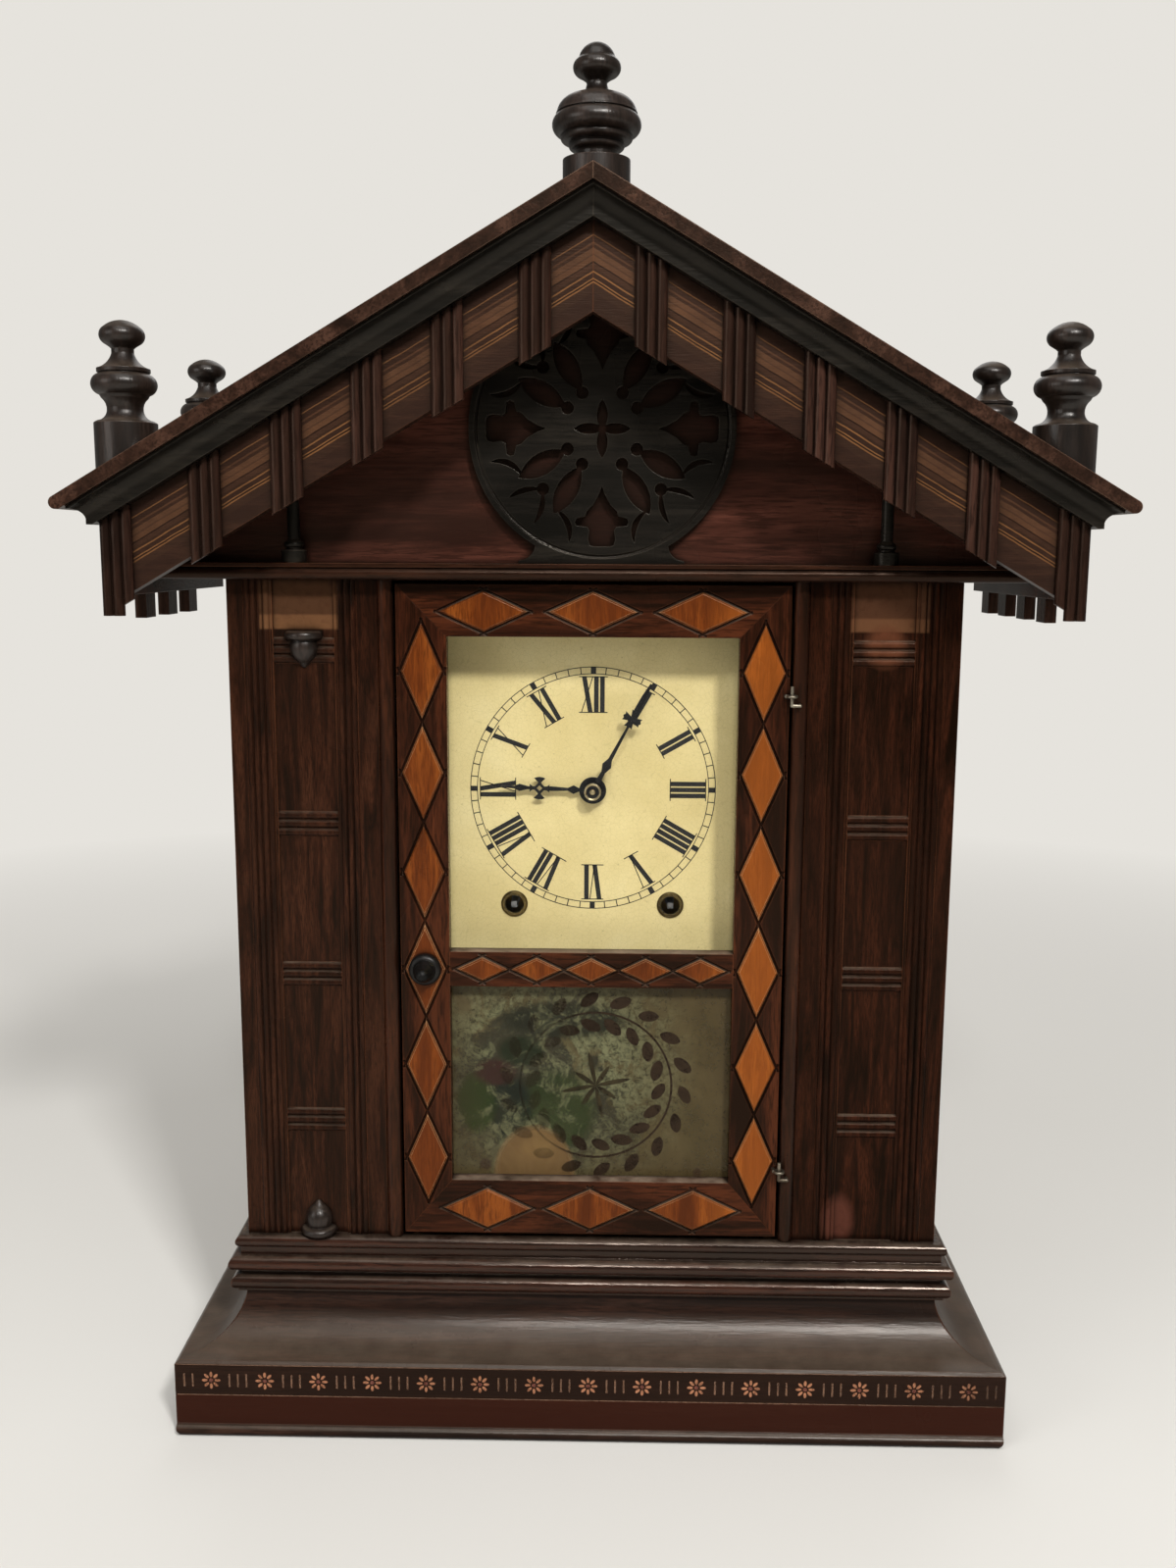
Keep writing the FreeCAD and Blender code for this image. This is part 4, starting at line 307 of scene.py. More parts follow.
# lozenges are lighter on the right stile and darker along the top
def lozengeTones(wood, colour):
    x, _, z = wood.axes()
    right = wood.reach(x, *lozengeFade["right"], (0, lozengeFade["rightCover"]))
    top = wood.reach(z, *lozengeFade["top"], (0, lozengeFade["topCover"]))
    colour = wood.mix(right, colour, lozengeFade["rightShade"])
    return wood.mix(top, colour, lozengeFade["topShade"])


finishes["lozenge_wood"] = stainedWood("lozenge veneer", lozengeLook, lozengeTones)
innerLook = look(dark=tint(92, 66, 42), middle=tint(128, 96, 64), light=tint(154, 120, 84),
                 stain=tint(96, 72, 50), bare=tint(176, 146, 108), gloss=(0.6, 0.8), grime=0.5,
                 grimeShade=tint(60, 42, 27))
finishes["inner_wood"] = stainedWood("bare aged wood", innerLook)

# plinth front: black-brown upper band for the stencil, redder band below it
# what faces up on the plinth gets an even dust colour: dust and painted sheen on the cove
plinthLook = look(grain="x", dark=tint(22, 13, 9), middle=tint(40, 24, 17), light=tint(58, 37, 28),
                  gloss=(0.17, 0.3), shine=0.08, topShine=0.3, dust=0.26, dustEven=0.6, dustFrom=0.36,
                  varnish=tint(255, 248, 240))
plinthFront = (-0.0285, -0.0292)
plinthBands = [dict(low=(0.0226, 0.0232), high=(0.0402, 0.0396), cover=0.7, shade=tint(30, 17, 10)),
               dict(low=(0.0060, 0.0066), high=(0.0226, 0.0222), cover=0.85, shade=tint(48, 19, 9))]


def bandedFront(wood, colour):
    _, y, z = wood.axes()
    front = wood.reach(y, *plinthFront)
    for band in plinthBands:
        inside = wood.times(front, wood.reach(z, *band["low"]), wood.reach(z, *band["high"]), band["cover"])
        colour = wood.mix(inside, colour, band["shade"])
    return colour


finishes["plinth_wood"] = stainedWood("plinth stain", plinthLook, bandedFront)

# inlaid stripes run parallel to the rake: millimetres down from the top edge of the frieze
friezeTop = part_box("friezes")[1].z
frieze = dict(tall=0.0394, rakeRise=142.6, rakeRun=242.4, waver=0.006)
stripes = [(0.0, tint(34, 21, 16)), (6.2, tint(104, 70, 42)), (6.8, tint(38, 24, 18)),
           (9.4, tint(72, 47, 32)), (10.4, tint(44, 28, 20)), (12.0, tint(80, 54, 37)),
           (14.4, tint(66, 44, 31)), (15.2, tint(82, 55, 37)), (17.6, tint(24, 14, 10)),
           (18.4, tint(54, 35, 25)), (20.6, tint(40, 26, 19)), (21.8, tint(116, 78, 46)),
           (22.5, tint(38, 24, 18)), (24.8, tint(118, 80, 47)), (25.5, tint(26, 15, 11)),
           (26.3, tint(112, 75, 44)), (27.0, tint(42, 28, 21)), (31.0, tint(36, 23, 18))]
friezeLook = look(grain="x", figure=120, dark=tint(24, 14, 10), middle=tint(42, 26, 19),
                  light=tint(64, 41, 29), stain=tint(40, 25, 17), gloss=(0.26, 0.42))


def inlay(wood, colour):
    x, _, z = wood.axes()
    slope = frieze["rakeRise"] / frieze["rakeRun"]
    fall = wood.math("ADD", z, wood.times(wood.math("ABSOLUTE", x), slope))
    depth = wood.times(wood.math("SUBTRACT", friezeTop, fall), 1 / frieze["tall"])
    waver = wood.noise(wood.place, 60, 3, 0.6)
    depth = wood.math("ADD", depth, wood.reach(waver, 0.3, 0.7, (-frieze["waver"], frieze["waver"])))
    band = wood.ramp(depth, *[(at * mm / frieze["tall"], shade) for at, shade in stripes])
    band.node.color_ramp.interpolation = "CONSTANT"
    faded = wood.noise(wood.place, 38, 5, 0.7, 0.4)
    return wood.mix(wood.reach(faded, 0.34, 0.62, (0.4, 0.82)), colour, band)


finishes["frieze_wood"] = stainedWood("inlaid frieze", friezeLook, inlay)

# bare places where capitals and acorns have come off
bareSpots = {
    "pilaster_left": [("patch", (-0.165, 0.4185), (-0.1265, 0.4432), tint(70, 46, 30)),
                      ("patch", (-0.165, 0.4185), (-0.1265, 0.4255), tint(100, 68, 44))],
    "pilaster_right": [("patch", (0.127, 0.4185), (0.165, 0.4432), tint(66, 42, 28)),
                       ("patch", (0.127, 0.4185), (0.165, 0.425), tint(88, 58, 38)),
                       ("oval", (0.1445, 0.411), (0.0095, 0.0095), tint(84, 48, 31)),
                       ("oval", (0.1305, 0.109), (0.0078, 0.013), tint(76, 42, 32))],
}
bareSoft = dict(patch=0.0006, oval=0.3)
# pilasters: stronger rubbed edges and dust on the reeds, which also stand for painted highlights on the reed
# tops
pilasterLooks = {
    "pilaster_left": look(figure=190, spread=0.12, dark=tint(15, 7, 4), light=tint(62, 34, 21),
                          rubbed=0.8, dust=0.5, shine=0.13),
    "pilaster_right": look(figure=190, spread=0.12, dark=tint(13, 5, 2), middle=tint(35, 15, 7),
                           light=tint(55, 26, 14), rubbed=0.8, dust=0.6, shine=0.08),
}


def bareLooks(side):
    def overlay(wood, colour):
        ragged = wood.reach(wood.noise(wood.place, 220, 4, 0.6), 0.25, 0.5, (0.55, 0.95))
        ragged = wood.times(ragged, wood.frontOnly())
        for shape, a, b, shade in bareSpots[side]:
            mask = wood.patch if shape == "patch" else wood.oval
            colour = wood.mix(wood.times(mask(a, b, bareSoft[shape]), ragged), colour, shade)
        return colour
    return overlay


for side, sideLook in pilasterLooks.items():
    finishes[side] = stainedWood(side.replace("_", " ") + " stain", sideLook, bareLooks(side))


# dial: aged cream paint with fine crazing and dark specks
def dialPaint():
    paint = Finish("aged cream dial paint")
    cloud = paint.noise(paint.place, 14, 5, 0.6, 0.3)
    colour = paint.ramp(cloud, (0.3, tint(208, 189, 128)), (0.55, tint(224, 206, 146)),
                        (0.75, tint(232, 217, 162)))
    craze = paint.node("ShaderNodeTexVoronoi", feature="DISTANCE_TO_EDGE")
    paint.feed(craze.inputs["Vector"], paint.place)
    craze.inputs["Scale"].default_value = 420
    crack = paint.reach(craze.outputs["Distance"], 0.0, 0.05, (0.22, 0))
    colour = paint.mix(crack, colour, tint(150, 132, 84))
    specks = paint.noise(paint.place, 700, 2, 0.5)
    colour = paint.mix(paint.reach(specks, 0.68, 0.76, (0, 0.4)), colour, tint(120, 104, 66))
    paint.set(Base_Color=colour, Roughness=paint.reach(cloud, 0.3, 0.7, (0.42, 0.6)))
    paint.bump(craze.outputs["Distance"], 0.06, 0.0003)
    return paint.material


finishes["dial_paint"] = dialPaint()


# nearly invisible, a little wavy
def clearGlass():
    glass = Finish("old clear glass")
    ripple = glass.noise(glass.place, 14, 2, 0.5)
    glass.set(Base_Color=tint(40, 42, 38), Roughness=0.0, Alpha=0.035, IOR=1.45, Specular_IOR_Level=0.25)
    glass.bump(ripple, 0.02, 0.002)
    return glass.material


finishes["clear_glass"] = clearGlass()

# tablet: murky olive coat with pale flecks, worn green scenery on its left half, a thin coat before the bob
tablet = dict(scenery=((-0.024, 0.192), (0.058, 0.060)), thin=((-0.0295, 0.1305), (0.0205, 0.0262)),
              rim=((-0.064, 0.138), (0.064, 0.229)), rimSoft=0.010)
greenery = [((-0.018, 0.166), (0.020, 0.022), tint(38, 47, 22)),
            ((-0.042, 0.166), (0.011, 0.020), tint(20, 26, 19)),
            ((-0.060, 0.170), (0.010, 0.016), tint(38, 48, 20)),
            ((-0.014, 0.216), (0.032, 0.010), tint(30, 31, 21)),
            ((-0.050, 0.187), (0.011, 0.007), tint(50, 30, 25)),
            ((-0.036, 0.199), (0.012, 0.008), tint(26, 33, 18))]
darkSpots = [((0.0566, 0.1325), (0.0022, 0.0026)), ((-0.0555, 0.136), (0.0030, 0.0034))]


def paintedGlass():
    glass = Finish("worn painted tablet glass")
    film = glass.noise(glass.place, 30, 6, 0.65, 0.4)
    fleck = glass.noise(glass.place, 330, 6, 0.72, 0.5)
    blot = glass.noise(glass.place, 62, 8, 0.74, 0.9)
    cloud = glass.noise(glass.place, 24, 5, 0.6, 0.6)
    colour = glass.ramp(film, (0.32, tint(60, 51, 31)), (0.55, tint(77, 66, 42)), (0.75, tint(92, 81, 56)))
    scenery = glass.oval(*tablet["scenery"], 0.4)
    chalk = glass.times(scenery, glass.reach(blot, 0.43, 0.51, (0.15, 0.85)))
    colour = glass.mix(chalk, colour, glass.ramp(fleck, (0.36, tint(48, 49, 33)), (0.56, tint(110, 110, 80))))
    dark = glass.times(scenery, glass.reach(cloud, 0.47, 0.53), glass.reach(blot, 0.6, 0.5, (0.1, 0.85)))
    colour = glass.mix(dark, colour, tint(44, 42, 31))
    kept = glass.times(glass.reach(blot, 0.6, 0.5, (0.25, 1.0)), glass.reach(fleck, 0.3, 0.55, (0.6, 0.95)))
    for centre, half, shade in greenery:
        colour = glass.mix(glass.times(glass.oval(centre, half, 0.18), kept), colour, shade)
    for centre, half in darkSpots:
        colour = glass.mix(glass.times(glass.oval(centre, half, 0.3), 0.8), colour, tint(52, 38, 30))
    rim = glass.math("SUBTRACT", 1, glass.patch(*tablet["rim"], tablet["rimSoft"]))
    colour = glass.mix(glass.times(rim, 0.35), colour, tint(66, 52, 32))
    thin = glass.oval(*tablet["thin"], 0.08)
    colour = glass.mix(thin, colour, tint(142, 112, 74))
    cover = glass.times(glass.reach(fleck, 0.3, 0.7, (0.86, 0.97)), glass.reach(thin, 0, 1, (1, 0.3)))
    glass.set(Base_Color=colour, Roughness=glass.reach(film, 0.3, 0.7, (0.16, 0.3)), Alpha=cover,
              Specular_IOR_Level=0.12)
    glass.bump(fleck, 0.05, 0.0003)
    return glass.material


finishes["painted_glass"] = paintedGlass()
finishes["grommet_brass"] = worn("tarnished brass eyelet", tint(122, 104, 62), tint(60, 52, 38), (0.28, 0.5))
finishes["hand_black"] = worn("blackened steel", tint(16, 16, 17), tint(28, 27, 26), (0.3, 0.5), 0.4)
finishes["knob_iron"] = worn("dark iron", tint(44, 42, 40), tint(24, 23, 22), (0.28, 0.5), 0.8)
finishes["hinge_wire"] = worn("dull wire", tint(150, 142, 126), tint(88, 78, 66), (0.35, 0.6))
finishes["plate_brass"] = worn("tarnished plate brass", tint(186, 150, 84), tint(128, 96, 52), (0.3, 0.5))
finishes["wheel_brass"] = worn("tarnished wheel brass", tint(196, 160, 92), tint(140, 108, 60), (0.26, 0.46))
finishes["steel"] = worn("grey steel", tint(140, 140, 140), tint(84, 82, 80), (0.28, 0.5))
finishes["bob_brass"] = worn("bob brass", tint(222, 186, 112), tint(176, 138, 74), (0.3, 0.5))
finishes["gong_steel"] = worn("blued gong wire", tint(78, 82, 98), tint(48, 48, 54), (0.28, 0.44))
finishes["hand_collet"] = worn("pale hand collet", tint(206, 190, 150), tint(124, 112, 84), (0.24, 0.42))

slotOf = {part["node"]: part["material_slot"] for part in frame["record"]["subparts"]}
ownFinish = {"case_sides": "case_sides", "base_beads": "base_beads", "top_shelf": "top_shelf",
             "pilaster_left": "pilaster_left", "pilaster_right": "pilaster_right",
             "rail_top": "door_rails", "rail_middle": "door_rails", "rail_bottom": "door_rails",
             "jamb_beads": "case_sides", "frieze_blocks": "blocks", "fascia_blocks": "blocks"}
for name, node in nodes.items():
    node.data.materials.clear()
    node.data.materials.append(finishes[ownFinish.get(name, slotOf[name])])
print("finishes on", len(nodes), "CAD nodes")


# modelling bench: flat pieces are drawn in the XY plane, in metres, and then stood up to face the front
def clearAll():
    if bpy.context.mode != "OBJECT":
        bpy.ops.object.mode_set(mode="OBJECT")
    bpy.ops.object.select_all(action="DESELECT")


def bar(start, end, width):
    clearAll()
    run = Vector(end) - Vector(start)
    middle = (Vector(start) + Vector(end)) * 0.5
    turn = math.atan2(run.y, run.x)
    bpy.ops.mesh.primitive_plane_add(size=1, location=(middle.x, middle.y, 0), rotation=(0, 0, turn))
    made = bpy.context.object
    made.scale = (run.length, width, 1)
    bpy.ops.object.transform_apply(location=True, rotation=True, scale=True)
    return made


# a circle drawn in by an extruded and shrunk rim, so that a flat ring is left
def flatRing(radius, width, sides=160):
    clearAll()
    bpy.ops.mesh.primitive_circle_add(vertices=sides, radius=radius, fill_type="NOTHING")
    made = bpy.context.object
    bpy.ops.object.mode_set(mode="EDIT")
    bpy.ops.mesh.select_all(action="SELECT")
    bpy.ops.mesh.extrude_region()
    share = (radius - width) / radius
    bpy.ops.transform.resize(value=(share, share, 1), center_override=(0, 0, 0))
    bpy.ops.object.mode_set(mode="OBJECT")
    return made


# a disc stretched to an oval, its two ends drawn out to points
def leafShape(length, width, point, sides=14):
    clearAll()
    quarter = (0, 0, math.pi / 2)
    bpy.ops.mesh.primitive_circle_add(vertices=sides, radius=0.5, fill_type="NGON", rotation=quarter)
    made = bpy.context.object
    bpy.ops.object.transform_apply(location=False, rotation=True, scale=False)
    made.scale = (length, width, 1)
    bpy.ops.object.transform_apply(location=False, rotation=False, scale=True)
    if point:
        for side in (-1, 1):
            bpy.ops.object.mode_set(mode="EDIT")
            bpy.ops.mesh.select_all(action="DESELECT")
            bpy.ops.object.mode_set(mode="OBJECT")
            for corner in made.data.vertices:
                corner.select = corner.co.x * side > length * 0.49  # the corner at this end
            bpy.ops.object.mode_set(mode="EDIT")
            bpy.ops.transform.translate(value=(side * length * point, 0, 0))
        bpy.ops.object.mode_set(mode="OBJECT")
    return made


# copies all that is drawn round the centre
def goRound(made, count):
    clearAll()
    made.select_set(True)
    bpy.context.view_layer.objects.active = made
    bpy.ops.object.mode_set(mode="EDIT")
    bpy.ops.mesh.select_all(action="SELECT")
    bpy.ops.mesh.spin(steps=count, dupli=True, angle=math.tau, center=(0, 0, 0), axis=(0, 0, 1))
    bpy.ops.mesh.select_all(action="SELECT")
    bpy.ops.mesh.remove_doubles(threshold=0.00001)
    bpy.ops.object.mode_set(mode="OBJECT")
    return made


def copyAt(pattern, spot, turn=0.0, size=1.0):
    twin = pattern.copy()
    twin.data = pattern.data.copy()
    bpy.context.collection.objects.link(twin)
    twin.location = (spot[0], spot[1], 0)
    twin.rotation_euler = (0, 0, turn)
    twin.scale = (size, size, 1)
    return twin


def joinUp(made, name):
    clearAll()
    for one in made:
        one.select_set(True)
    bpy.context.view_layer.objects.active = made[0]
    bpy.ops.object.transform_apply(location=True, rotation=True, scale=True)
    if len(made) > 1:
        bpy.ops.object.join()
    whole = bpy.context.object
    whole.name = name
    whole.data.name = name
    return whole


# stands a flat drawing up at its place, gives it the thickness of a paint film, and hangs it on its body
def asPaint(whole, spot, film, finish, body):
    clearAll()
    whole.select_set(True)
    bpy.context.view_layer.objects.active = whole
    whole.rotation_euler = (math.pi / 2, 0, 0)
    whole.location = spot
    bpy.ops.object.transform_apply(location=True, rotation=True, scale=True)
    bpy.ops.object.mode_set(mode="EDIT")
    bpy.ops.mesh.select_all(action="SELECT")
    bpy.ops.mesh.normals_make_consistent(inside=False)
    bpy.ops.object.mode_set(mode="OBJECT")
    bpy.ops.object.modifier_add(type="SOLIDIFY")
    whole.modifiers[-1].thickness = film
    whole.modifiers[-1].offset = 0
    bpy.ops.object.modifier_apply(modifier=whole.modifiers[-1].name)
    whole.data.materials.clear()
    whole.data.materials.append(finish)
    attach(whole, body)


# dial printing: minute track and radial numerals
dialPrint = dict(centre=(0, 0.335), outer=0.0636, inner=0.0601, line=0.00042, tick=0.0005, square=0.0027,
                 squareProud=0.0002, numeralLow=0.0402, numeralHigh=0.0586, thick=0.0024, thin=0.0005,
                 serif=0.0012, lift=0.00006, film=0.00004, squareFilm=0.00006)
letterWide = {"I": 0.0031, "V": 0.0062, "X": 0.0062}
letterStrokes = {"I": [((0, 1), (0, 0), "thick")],
                 "V": [((-0.0021, 1), (0.0004, 0), "thick"), ((0.0028, 1), (0.0006, 0), "thin")],
                 "X": [((-0.0016, 1), (0.0016, 0), "thick"), ((0.0028, 1), (-0.0030, 0), "thin")]}
numerals = ["XII", "I", "II", "III", "IIII", "V", "VI", "VII", "VIII", "IX", "X", "XI"]


def printInk():
    ink = Finish("dial printing ink")
    wear = ink.noise(ink.place, 300, 4, 0.65)
    colour = ink.ramp(wear, (0.35, tint(12, 11, 9)), (0.64, tint(22, 20, 16)), (0.78, tint(70, 63, 44)))
    ink.set(Base_Color=colour, Roughness=ink.reach(wear, 0.3, 0.7, (0.4, 0.6)))
    return ink.material


def numeralStrokes(word):
    low, high = dialPrint["numeralLow"], dialPrint["numeralHigh"]
    whole = sum(letterWide[letter] for letter in word)
    at = -whole / 2
    strokes = []
    for letter in word:
        middle = at + letterWide[letter] / 2
        for start, end, weight in letterStrokes[letter]:
            points = [(middle + u, low + (high - low) * v) for u, v in (start, end)]
            strokes.append(bar(*points, dialPrint[weight]))
        at += letterWide[letter]
    reach = whole / 2 + dialPrint["serif"]
    for level in (low, high):
        strokes.append(bar((-reach, level), (reach, level), dialPrint["thin"]))
    return strokes


inkFinish = printInk()
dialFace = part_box("dial_plate")[0].y
printSpot = (dialPrint["centre"][0], dialFace - dialPrint["lift"], dialPrint["centre"][1])
trackLow, trackHigh = dialPrint["inner"], dialPrint["outer"]
proud = dialPrint["squareProud"]
minuteTicks = goRound(bar((0, trackLow), (0, trackHigh), dialPrint["tick"]), 60)
fiveSquares = goRound(bar((0, trackLow - proud), (0, trackHigh + proud), dialPrint["square"]), 12)
rings = [flatRing(radius + dialPrint["line"] / 2, dialPrint["line"]) for radius in (trackHigh, trackLow)]
track = joinUp([minuteTicks] + rings, "minuteTrack")
asPaint(track, printSpot, dialPrint["film"], inkFinish, "case")
squares = joinUp([fiveSquares], "fiveMinuteSquares")
asPaint(squares, printSpot, dialPrint["squareFilm"], inkFinish, "case")
figures = []
for hour, word in enumerate(numerals):
    drawn = joinUp(numeralStrokes(word), "numeral")
    drawn.rotation_euler = (0, 0, -math.tau * hour / len(numerals))
    figures.append(drawn)
ringOfHours = joinUp(figures, "romanNumerals")
asPaint(ringOfHours, printSpot, dialPrint["film"], inkFinish, "case")
print("dial printed with", len(numerals), "numerals")

# pale brass collet and arbor end in front of the hands
collet = dict(sides=48, radius=0.0044, deep=0.0022, rim=0.0007, dish=0.0008, endRadius=0.0013,
              endProud=0.0012, endInset=0.3, endCrown=0.2, edge=0.00025, edgeSteps=3, sunk=0.28, smoothTo=0.6)


def handCollet():
    clearAll()
    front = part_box("minute_hand")[0].y
    bpy.ops.mesh.primitive_cylinder_add(vertices=collet["sides"], radius=collet["radius"],
                                        depth=collet["deep"])
    made = bpy.context.object
    bpy.ops.object.mode_set(mode="EDIT")
    bpy.ops.mesh.select_all(action="DESELECT")
    bpy.ops.object.mode_set(mode="OBJECT")
    for face in made.data.polygons:
        face.select = face.normal.z > 0.9
    bpy.ops.object.mode_set(mode="EDIT")
    bpy.ops.mesh.inset(thickness=collet["rim"], depth=0)
    bpy.ops.mesh.inset(thickness=collet["rim"], depth=-collet["dish"])
    bpy.ops.mesh.inset(thickness=collet["radius"] - collet["rim"] * 2 - collet["endRadius"], depth=0)
    bpy.ops.mesh.extrude_region()
    bpy.ops.transform.translate(value=(0, 0, collet["endProud"]))
    bpy.ops.mesh.inset(thickness=collet["endRadius"] * collet["endInset"],
                       depth=collet["endRadius"] * collet["endCrown"])
    bpy.ops.object.mode_set(mode="OBJECT")
    bpy.ops.object.modifier_add(type="BEVEL")
    made.modifiers[-1].width = collet["edge"]
    made.modifiers[-1].segments = collet["edgeSteps"]
    bpy.ops.object.modifier_apply(modifier=made.modifiers[-1].name)
    made.name = "handCollet"
    made.data.name = "handCollet"
    made.rotation_euler = (math.pi / 2, 0, 0)
    made.location = (0, front + collet["deep"] * collet["sunk"], dialPrint["centre"][1])
    bpy.ops.object.transform_apply(location=True, rotation=True, scale=True)
    bpy.ops.object.shade_smooth_by_angle(angle=collet["smoothTo"])
    made.data.materials.append(finishes["hand_collet"])
    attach(made, "minute")


handCollet()

# bold diamond frame round the eye of the hour hand's cross, in the plane of the hand
hourEye = dict(away=0.0276, turn=272, half=0.0034, width=0.0019, sides=4, thick=0.00086, bladeHalf=0.0004)
eyeTurn = math.radians(hourEye["turn"])
eyeSpot = (hourEye["away"] * math.sin(eyeTurn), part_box("hour_hand")[0].y + hourEye["bladeHalf"],
           dialPrint["centre"][1] + hourEye["away"] * math.cos(eyeTurn))
eyeFrame = joinUp([flatRing(hourEye["half"], hourEye["width"], hourEye["sides"])], "hourEyeFrame")
asPaint(eyeFrame, eyeSpot, hourEye["thick"], finishes["hand_black"], "hour")
print("hands dressed with a collet and an eye frame")

# tablet painting: a leaf wreath on a ring stem with a star inside it
wreath = dict(centre=(0.0026, 0.1804), stem=0.0397, stemWidth=0.0011, pairs=18, leafLong=0.0108,
              leafWide=0.0061, leafPoint=0.03, leafLeast=0.94, leafVaries=0.12, lift=0.00005, film=0.00004)
leafRows = [dict(away=0.0468, turn=34, shift=-0.10), dict(away=0.0330, turn=-30, shift=-0.09)]
star = dict(rays=8, long=0.0168, short=0.0118, width=0.0026, point=0.06, sides=10, middle=0.56, turn=0.2,
            film=0.00005)


def wreathPaint(name, dark, light, fadeLeft):
    paint = Finish(name)
    wear = paint.noise(paint.place, 150, 6, 0.7, 0.4)
    x = paint.axes()[0]
    kept = paint.reach(x, -0.020, 0.006, (fadeLeft, 0.96))
    paint.set(Base_Color=paint.ramp(wear, (0.34, dark), (0.7, light)), Roughness=0.6, Specular_IOR_Level=0.1,
              Alpha=paint.times(kept, paint.reach(wear, 0.30, 0.46, (0.65, 1.0))))
    return paint.material


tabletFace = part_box("tablet_glass")[0].y
tabletSpot = (wreath["centre"][0], tabletFace - wreath["lift"], wreath["centre"][1])
leafPaint = wreathPaint("faded brown leaf paint", tint(34, 24, 15), tint(50, 38, 26), 0.17)
leaf = leafShape(wreath["leafLong"], wreath["leafWide"], wreath["leafPoint"])
leaves = []
for k in range(wreath["pairs"]):
    size = wreath["leafLeast"] + wreath["leafVaries"] * ((k * 5) % 7) / 7  # sizes change from leaf to leaf
    for row in leafRows:
        angle = math.tau * k / wreath["pairs"] + row["shift"]
        spot = (row["away"] * math.cos(angle), row["away"] * math.sin(angle))
        leaves.append(copyAt(leaf, spot, angle + math.pi / 2 + math.radians(row["turn"]), size))
bpy.data.objects.remove(leaf)
stem = flatRing(wreath["stem"] + wreath["stemWidth"] / 2, wreath["stemWidth"])
wreathWhole = joinUp([stem] + leaves, "leafWreath")
asPaint(wreathWhole, tabletSpot, wreath["film"], leafPaint, "door")
starRays = []
for k in range(star["rays"]):
    length = star["short"] if k % 2 else star["long"]
    away = length * star["middle"]
    angle = math.tau * k / star["rays"] + star["turn"]
    starRay = leafShape(length, star["width"], star["point"], star["sides"])
    starRay.location = (away * math.cos(angle), away * math.sin(angle), 0)
    starRay.rotation_euler = (0, 0, angle)
    starRays.append(starRay)
starPaint = wreathPaint("faded star paint", tint(30, 25, 16), tint(60, 52, 33), 0.4)
asPaint(joinUp(starRays, "tabletStar"), tabletSpot, star["film"], starPaint, "door")
print("tablet painted with", len(leaves), "leaves")

# plinth stencil: flowers with three bars between, and a line above and below them
stencil = dict(flowers=15, pitch=0.0280, level=0.0308, petals=8, petalLong=0.0031, petalWide=0.0015,
               petalAt=0.0033, heart=0.0011, heartSides=16, barPitch=0.0044, barTall=0.0074, barWide=0.0009,
               barsWithin=0.212, lineHalf=0.214, lineLow=0.0226, lineHigh=0.0395, lineWide=0.0005,
               faceY=-0.0296, lift=0.00005, film=0.00004, heartFilm=0.00006)


def stencilPaint(name, dark, light, cover):
    paint = Finish(name)
    wear = paint.noise(paint.place, 420, 5, 0.7)
    patchy = paint.noise(paint.place, 16, 3, 0.6)
    x = paint.axes()[0]
    kept = paint.times(paint.reach(x, 0.205, 0.13, (0.3, 1.0)), paint.reach(patchy, 0.3, 0.6, (0.45, 1.0)),
                       paint.reach(wear, 0.3, 0.5, (cover * 0.4, cover)))
    paint.set(Base_Color=paint.ramp(wear, (0.35, dark), (0.65, light)), Roughness=0.5, Alpha=kept)
    return paint.material


stencilSpot = (0, stencil["faceY"] - stencil["lift"], stencil["level"])
petal = leafShape(stencil["petalLong"], stencil["petalWide"], 0)
petal.location = (stencil["petalAt"], 0, 0)
flower = goRound(joinUp([petal], "flower"), stencil["petals"])
heart = leafShape(stencil["heart"] * 2, stencil["heart"] * 2, 0, stencil["heartSides"])
flowers = []
hearts = []
bars = []
for k in range(stencil["flowers"]):
    x = (k - (stencil["flowers"] - 1) / 2) * stencil["pitch"]
    flowers.append(copyAt(flower, (x, 0)))
    hearts.append(copyAt(heart, (x, 0)))
tall = stencil["barTall"] / 2
for k in range(stencil["flowers"] + 1):
    for step in (-1, 0, 1):
        x = (k - stencil["flowers"] / 2) * stencil["pitch"] + step * stencil["barPitch"]
        if abs(x) < stencil["barsWithin"]:
            bars.append(bar((x, -tall), (x, tall), stencil["barWide"]))
bpy.data.objects.remove(flower)
bpy.data.objects.remove(heart)
for z in (stencil["lineLow"], stencil["lineHigh"]):
    level = z - stencil["level"]
    bars.append(bar((-stencil["lineHalf"], level), (stencil["lineHalf"], level), stencil["lineWide"]))
petalPaint = stencilPaint("faded flower stencil", tint(146, 92, 62), tint(182, 122, 86), 0.9)
heartPaint = stencilPaint("flower heart stencil", tint(92, 44, 30), tint(116, 58, 40), 0.9)
barPaint = stencilPaint("faded bar stencil", tint(104, 72, 52), tint(128, 92, 68), 0.7)
asPaint(joinUp(flowers, "stencilFlowers"), stencilSpot, stencil["film"], petalPaint, "case")
asPaint(joinUp(hearts, "stencilHearts"), stencilSpot, stencil["heartFilm"], heartPaint, "case")
asPaint(joinUp(bars, "stencilBars"), stencilSpot, stencil["film"], barPaint, "case")
print("plinth stencilled with", stencil["flowers"], "flowers")

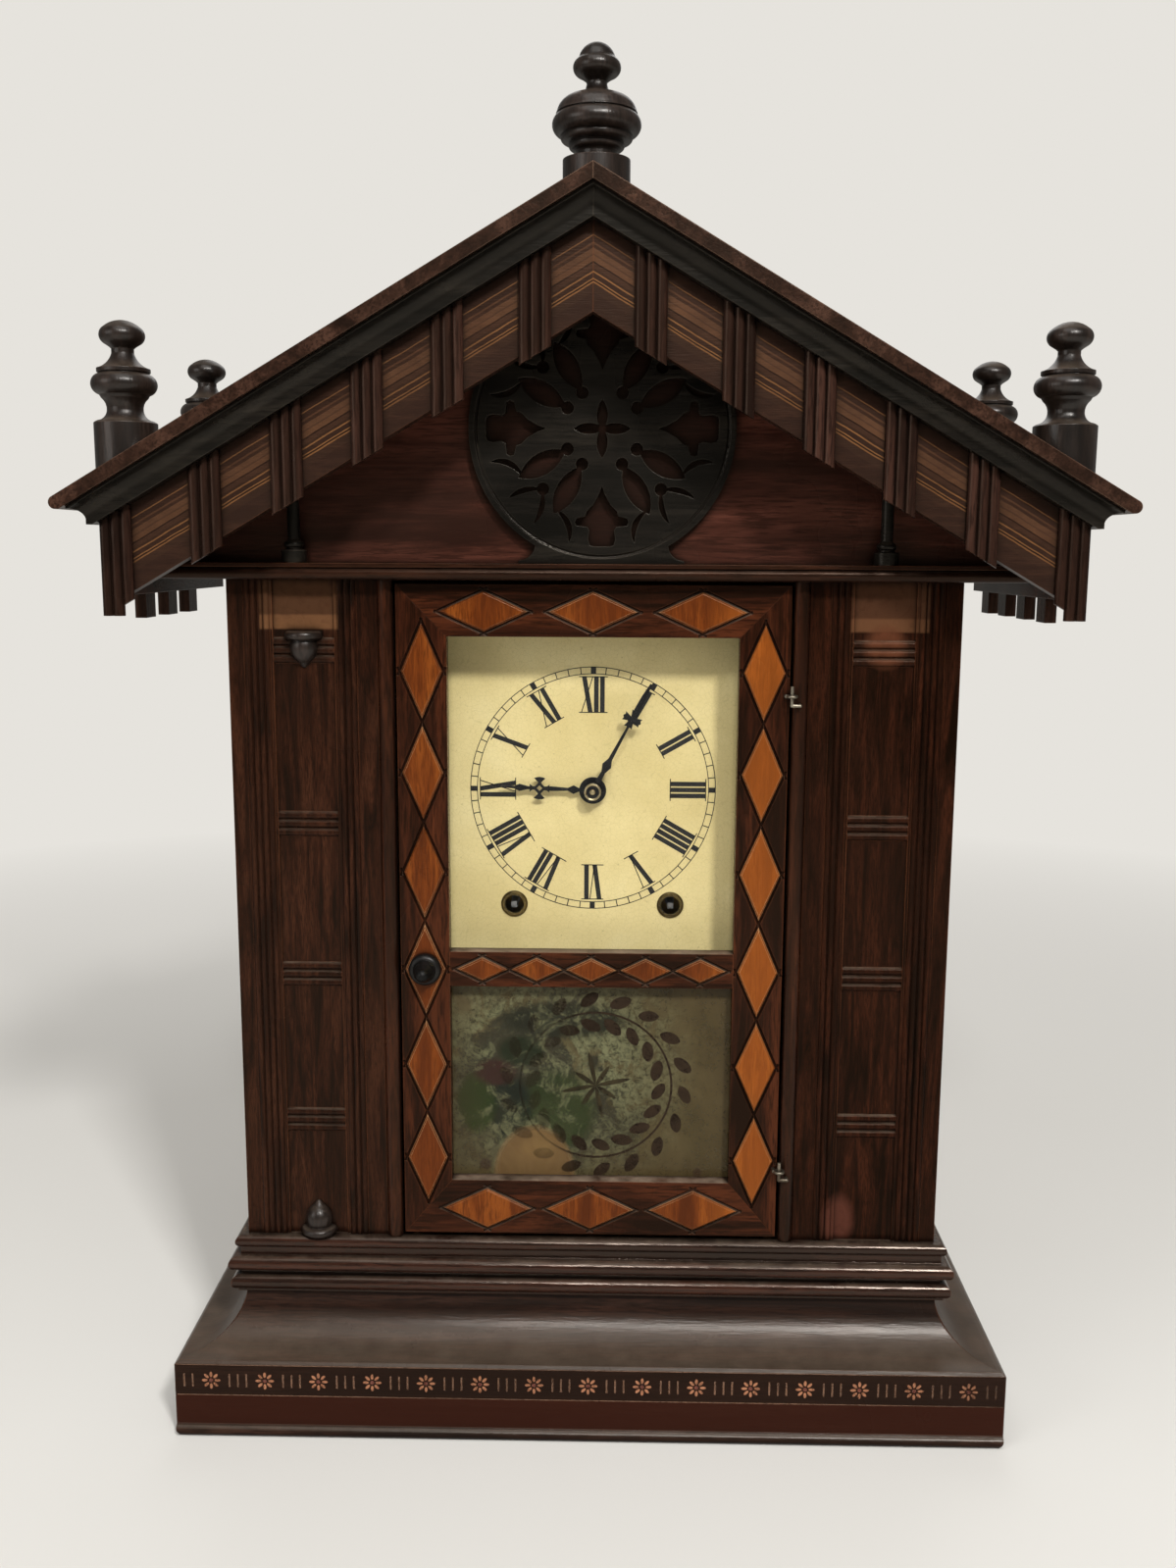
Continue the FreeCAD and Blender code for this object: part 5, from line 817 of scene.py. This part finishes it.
# floor that fades into the backdrop far from the object, light and camera
stage = dict(floorSize=40, floorDrop=0.0002, floorShade=tint(222, 219, 213), floorRough=0.7,
             sky=tint(230, 227, 221), skyOnObject=0.26, skySeen=1.0, fadeFrom=0.55, fadeTo=1.7)
clearAll()
bpy.ops.mesh.primitive_plane_add(size=stage["floorSize"], location=(0, 0, -stage["floorDrop"]))
floor = bpy.context.object
floor.name = "floor"
floorPaint = Finish("plain pale floor")
floorPaint.set(Base_Color=stage["floorShade"], Roughness=stage["floorRough"])
far = floorPaint.node("ShaderNodeVectorMath", operation="LENGTH")
floorPaint.feed(far.inputs[0], floorPaint.place)
fade = floorPaint.reach(far.outputs["Value"], stage["fadeFrom"], stage["fadeTo"])
floorRay = floorPaint.node("ShaderNodeLightPath")
glow = floorPaint.node("ShaderNodeEmission")
glow.inputs["Color"].default_value = stage["sky"]
blendIn = floorPaint.node("ShaderNodeMixShader")
floorPaint.feed(blendIn.inputs[0], floorPaint.times(fade, floorRay.outputs["Is Camera Ray"]))
floorPaint.feed(blendIn.inputs[1], floorPaint.shader.outputs[0])
floorPaint.feed(blendIn.inputs[2], glow.outputs[0])
floorPaint.feed(floorPaint.tree.nodes["Material Output"].inputs["Surface"], blendIn.outputs[0])
floor.data.materials.append(floorPaint.material)

world = bpy.data.worlds.new("studio")
bpy.context.scene.world = world
world.use_nodes = True
sky = world.node_tree
backdrop = sky.nodes["Background"]
backdrop.inputs["Color"].default_value = stage["sky"]
skyRay = sky.nodes.new("ShaderNodeLightPath")
seen = sky.nodes.new("ShaderNodeMath")
seen.operation = "MAXIMUM"
sky.links.new(skyRay.outputs["Is Camera Ray"], seen.inputs[0])
sky.links.new(skyRay.outputs["Is Transmission Ray"], seen.inputs[1])
skyLevel = sky.nodes.new("ShaderNodeMapRange")
skyLevel.inputs["To Min"].default_value = stage["skyOnObject"]
skyLevel.inputs["To Max"].default_value = stage["skySeen"]
sky.links.new(seen.outputs[0], skyLevel.inputs["Value"])
sky.links.new(skyLevel.outputs[0], backdrop.inputs["Strength"])

lamps = {
    "key": dict(at=(0.68, -1.62, 1.82), size=0.26, watts=40),
    "middle": dict(at=(0.0, -1.78, 1.84), size=0.26, watts=16),
    "overhead": dict(at=(-0.1, -0.55, 1.75), size=1.0, watts=7),
    "leftSoft": dict(at=(-1.6, -1.2, 0.9), size=0.9, watts=8),
    "behind": dict(at=(0.1, 1.6, 1.7), size=1.4, watts=8),
}
lampAim = Vector((0, 0.03, 0.33))
for name, lamp in lamps.items():
    bpy.ops.object.light_add(type="AREA", location=lamp["at"])
    light = bpy.context.object
    light.name = name
    light.data.size = lamp["size"]
    light.data.energy = lamp["watts"]
    light.rotation_euler = (lampAim - light.location).to_track_quat("-Z", "Y").to_euler()

# camera where the photograph was taken from
shot = dict(at=(0.01154, -0.70924, 0.45772), pitch=9.29, yaw=1.10, roll=0.28, lens=32.82, near=0.01)
bpy.ops.object.camera_add(location=shot["at"])
camera = bpy.context.object
camera.name = "photoCamera"
pitch, yaw, roll = (math.radians(shot[key]) for key in ("pitch", "yaw", "roll"))
ahead = Matrix.Rotation(yaw, 3, "Z") @ Vector((0, math.cos(pitch), -math.sin(pitch)))
flat = Matrix.Rotation(yaw, 3, "Z") @ Vector((1, 0, 0))
rise = flat.cross(ahead)
right = flat * math.cos(roll) + rise * math.sin(roll)
upward = right.cross(ahead)
camera.rotation_euler = Matrix((right, upward, -ahead)).transposed().to_euler()
camera.data.lens = shot["lens"]
camera.data.clip_start = shot["near"]
bpy.context.scene.camera = camera
bpy.context.scene.view_settings.view_transform = "Standard"
print("stage, lamps and camera set")
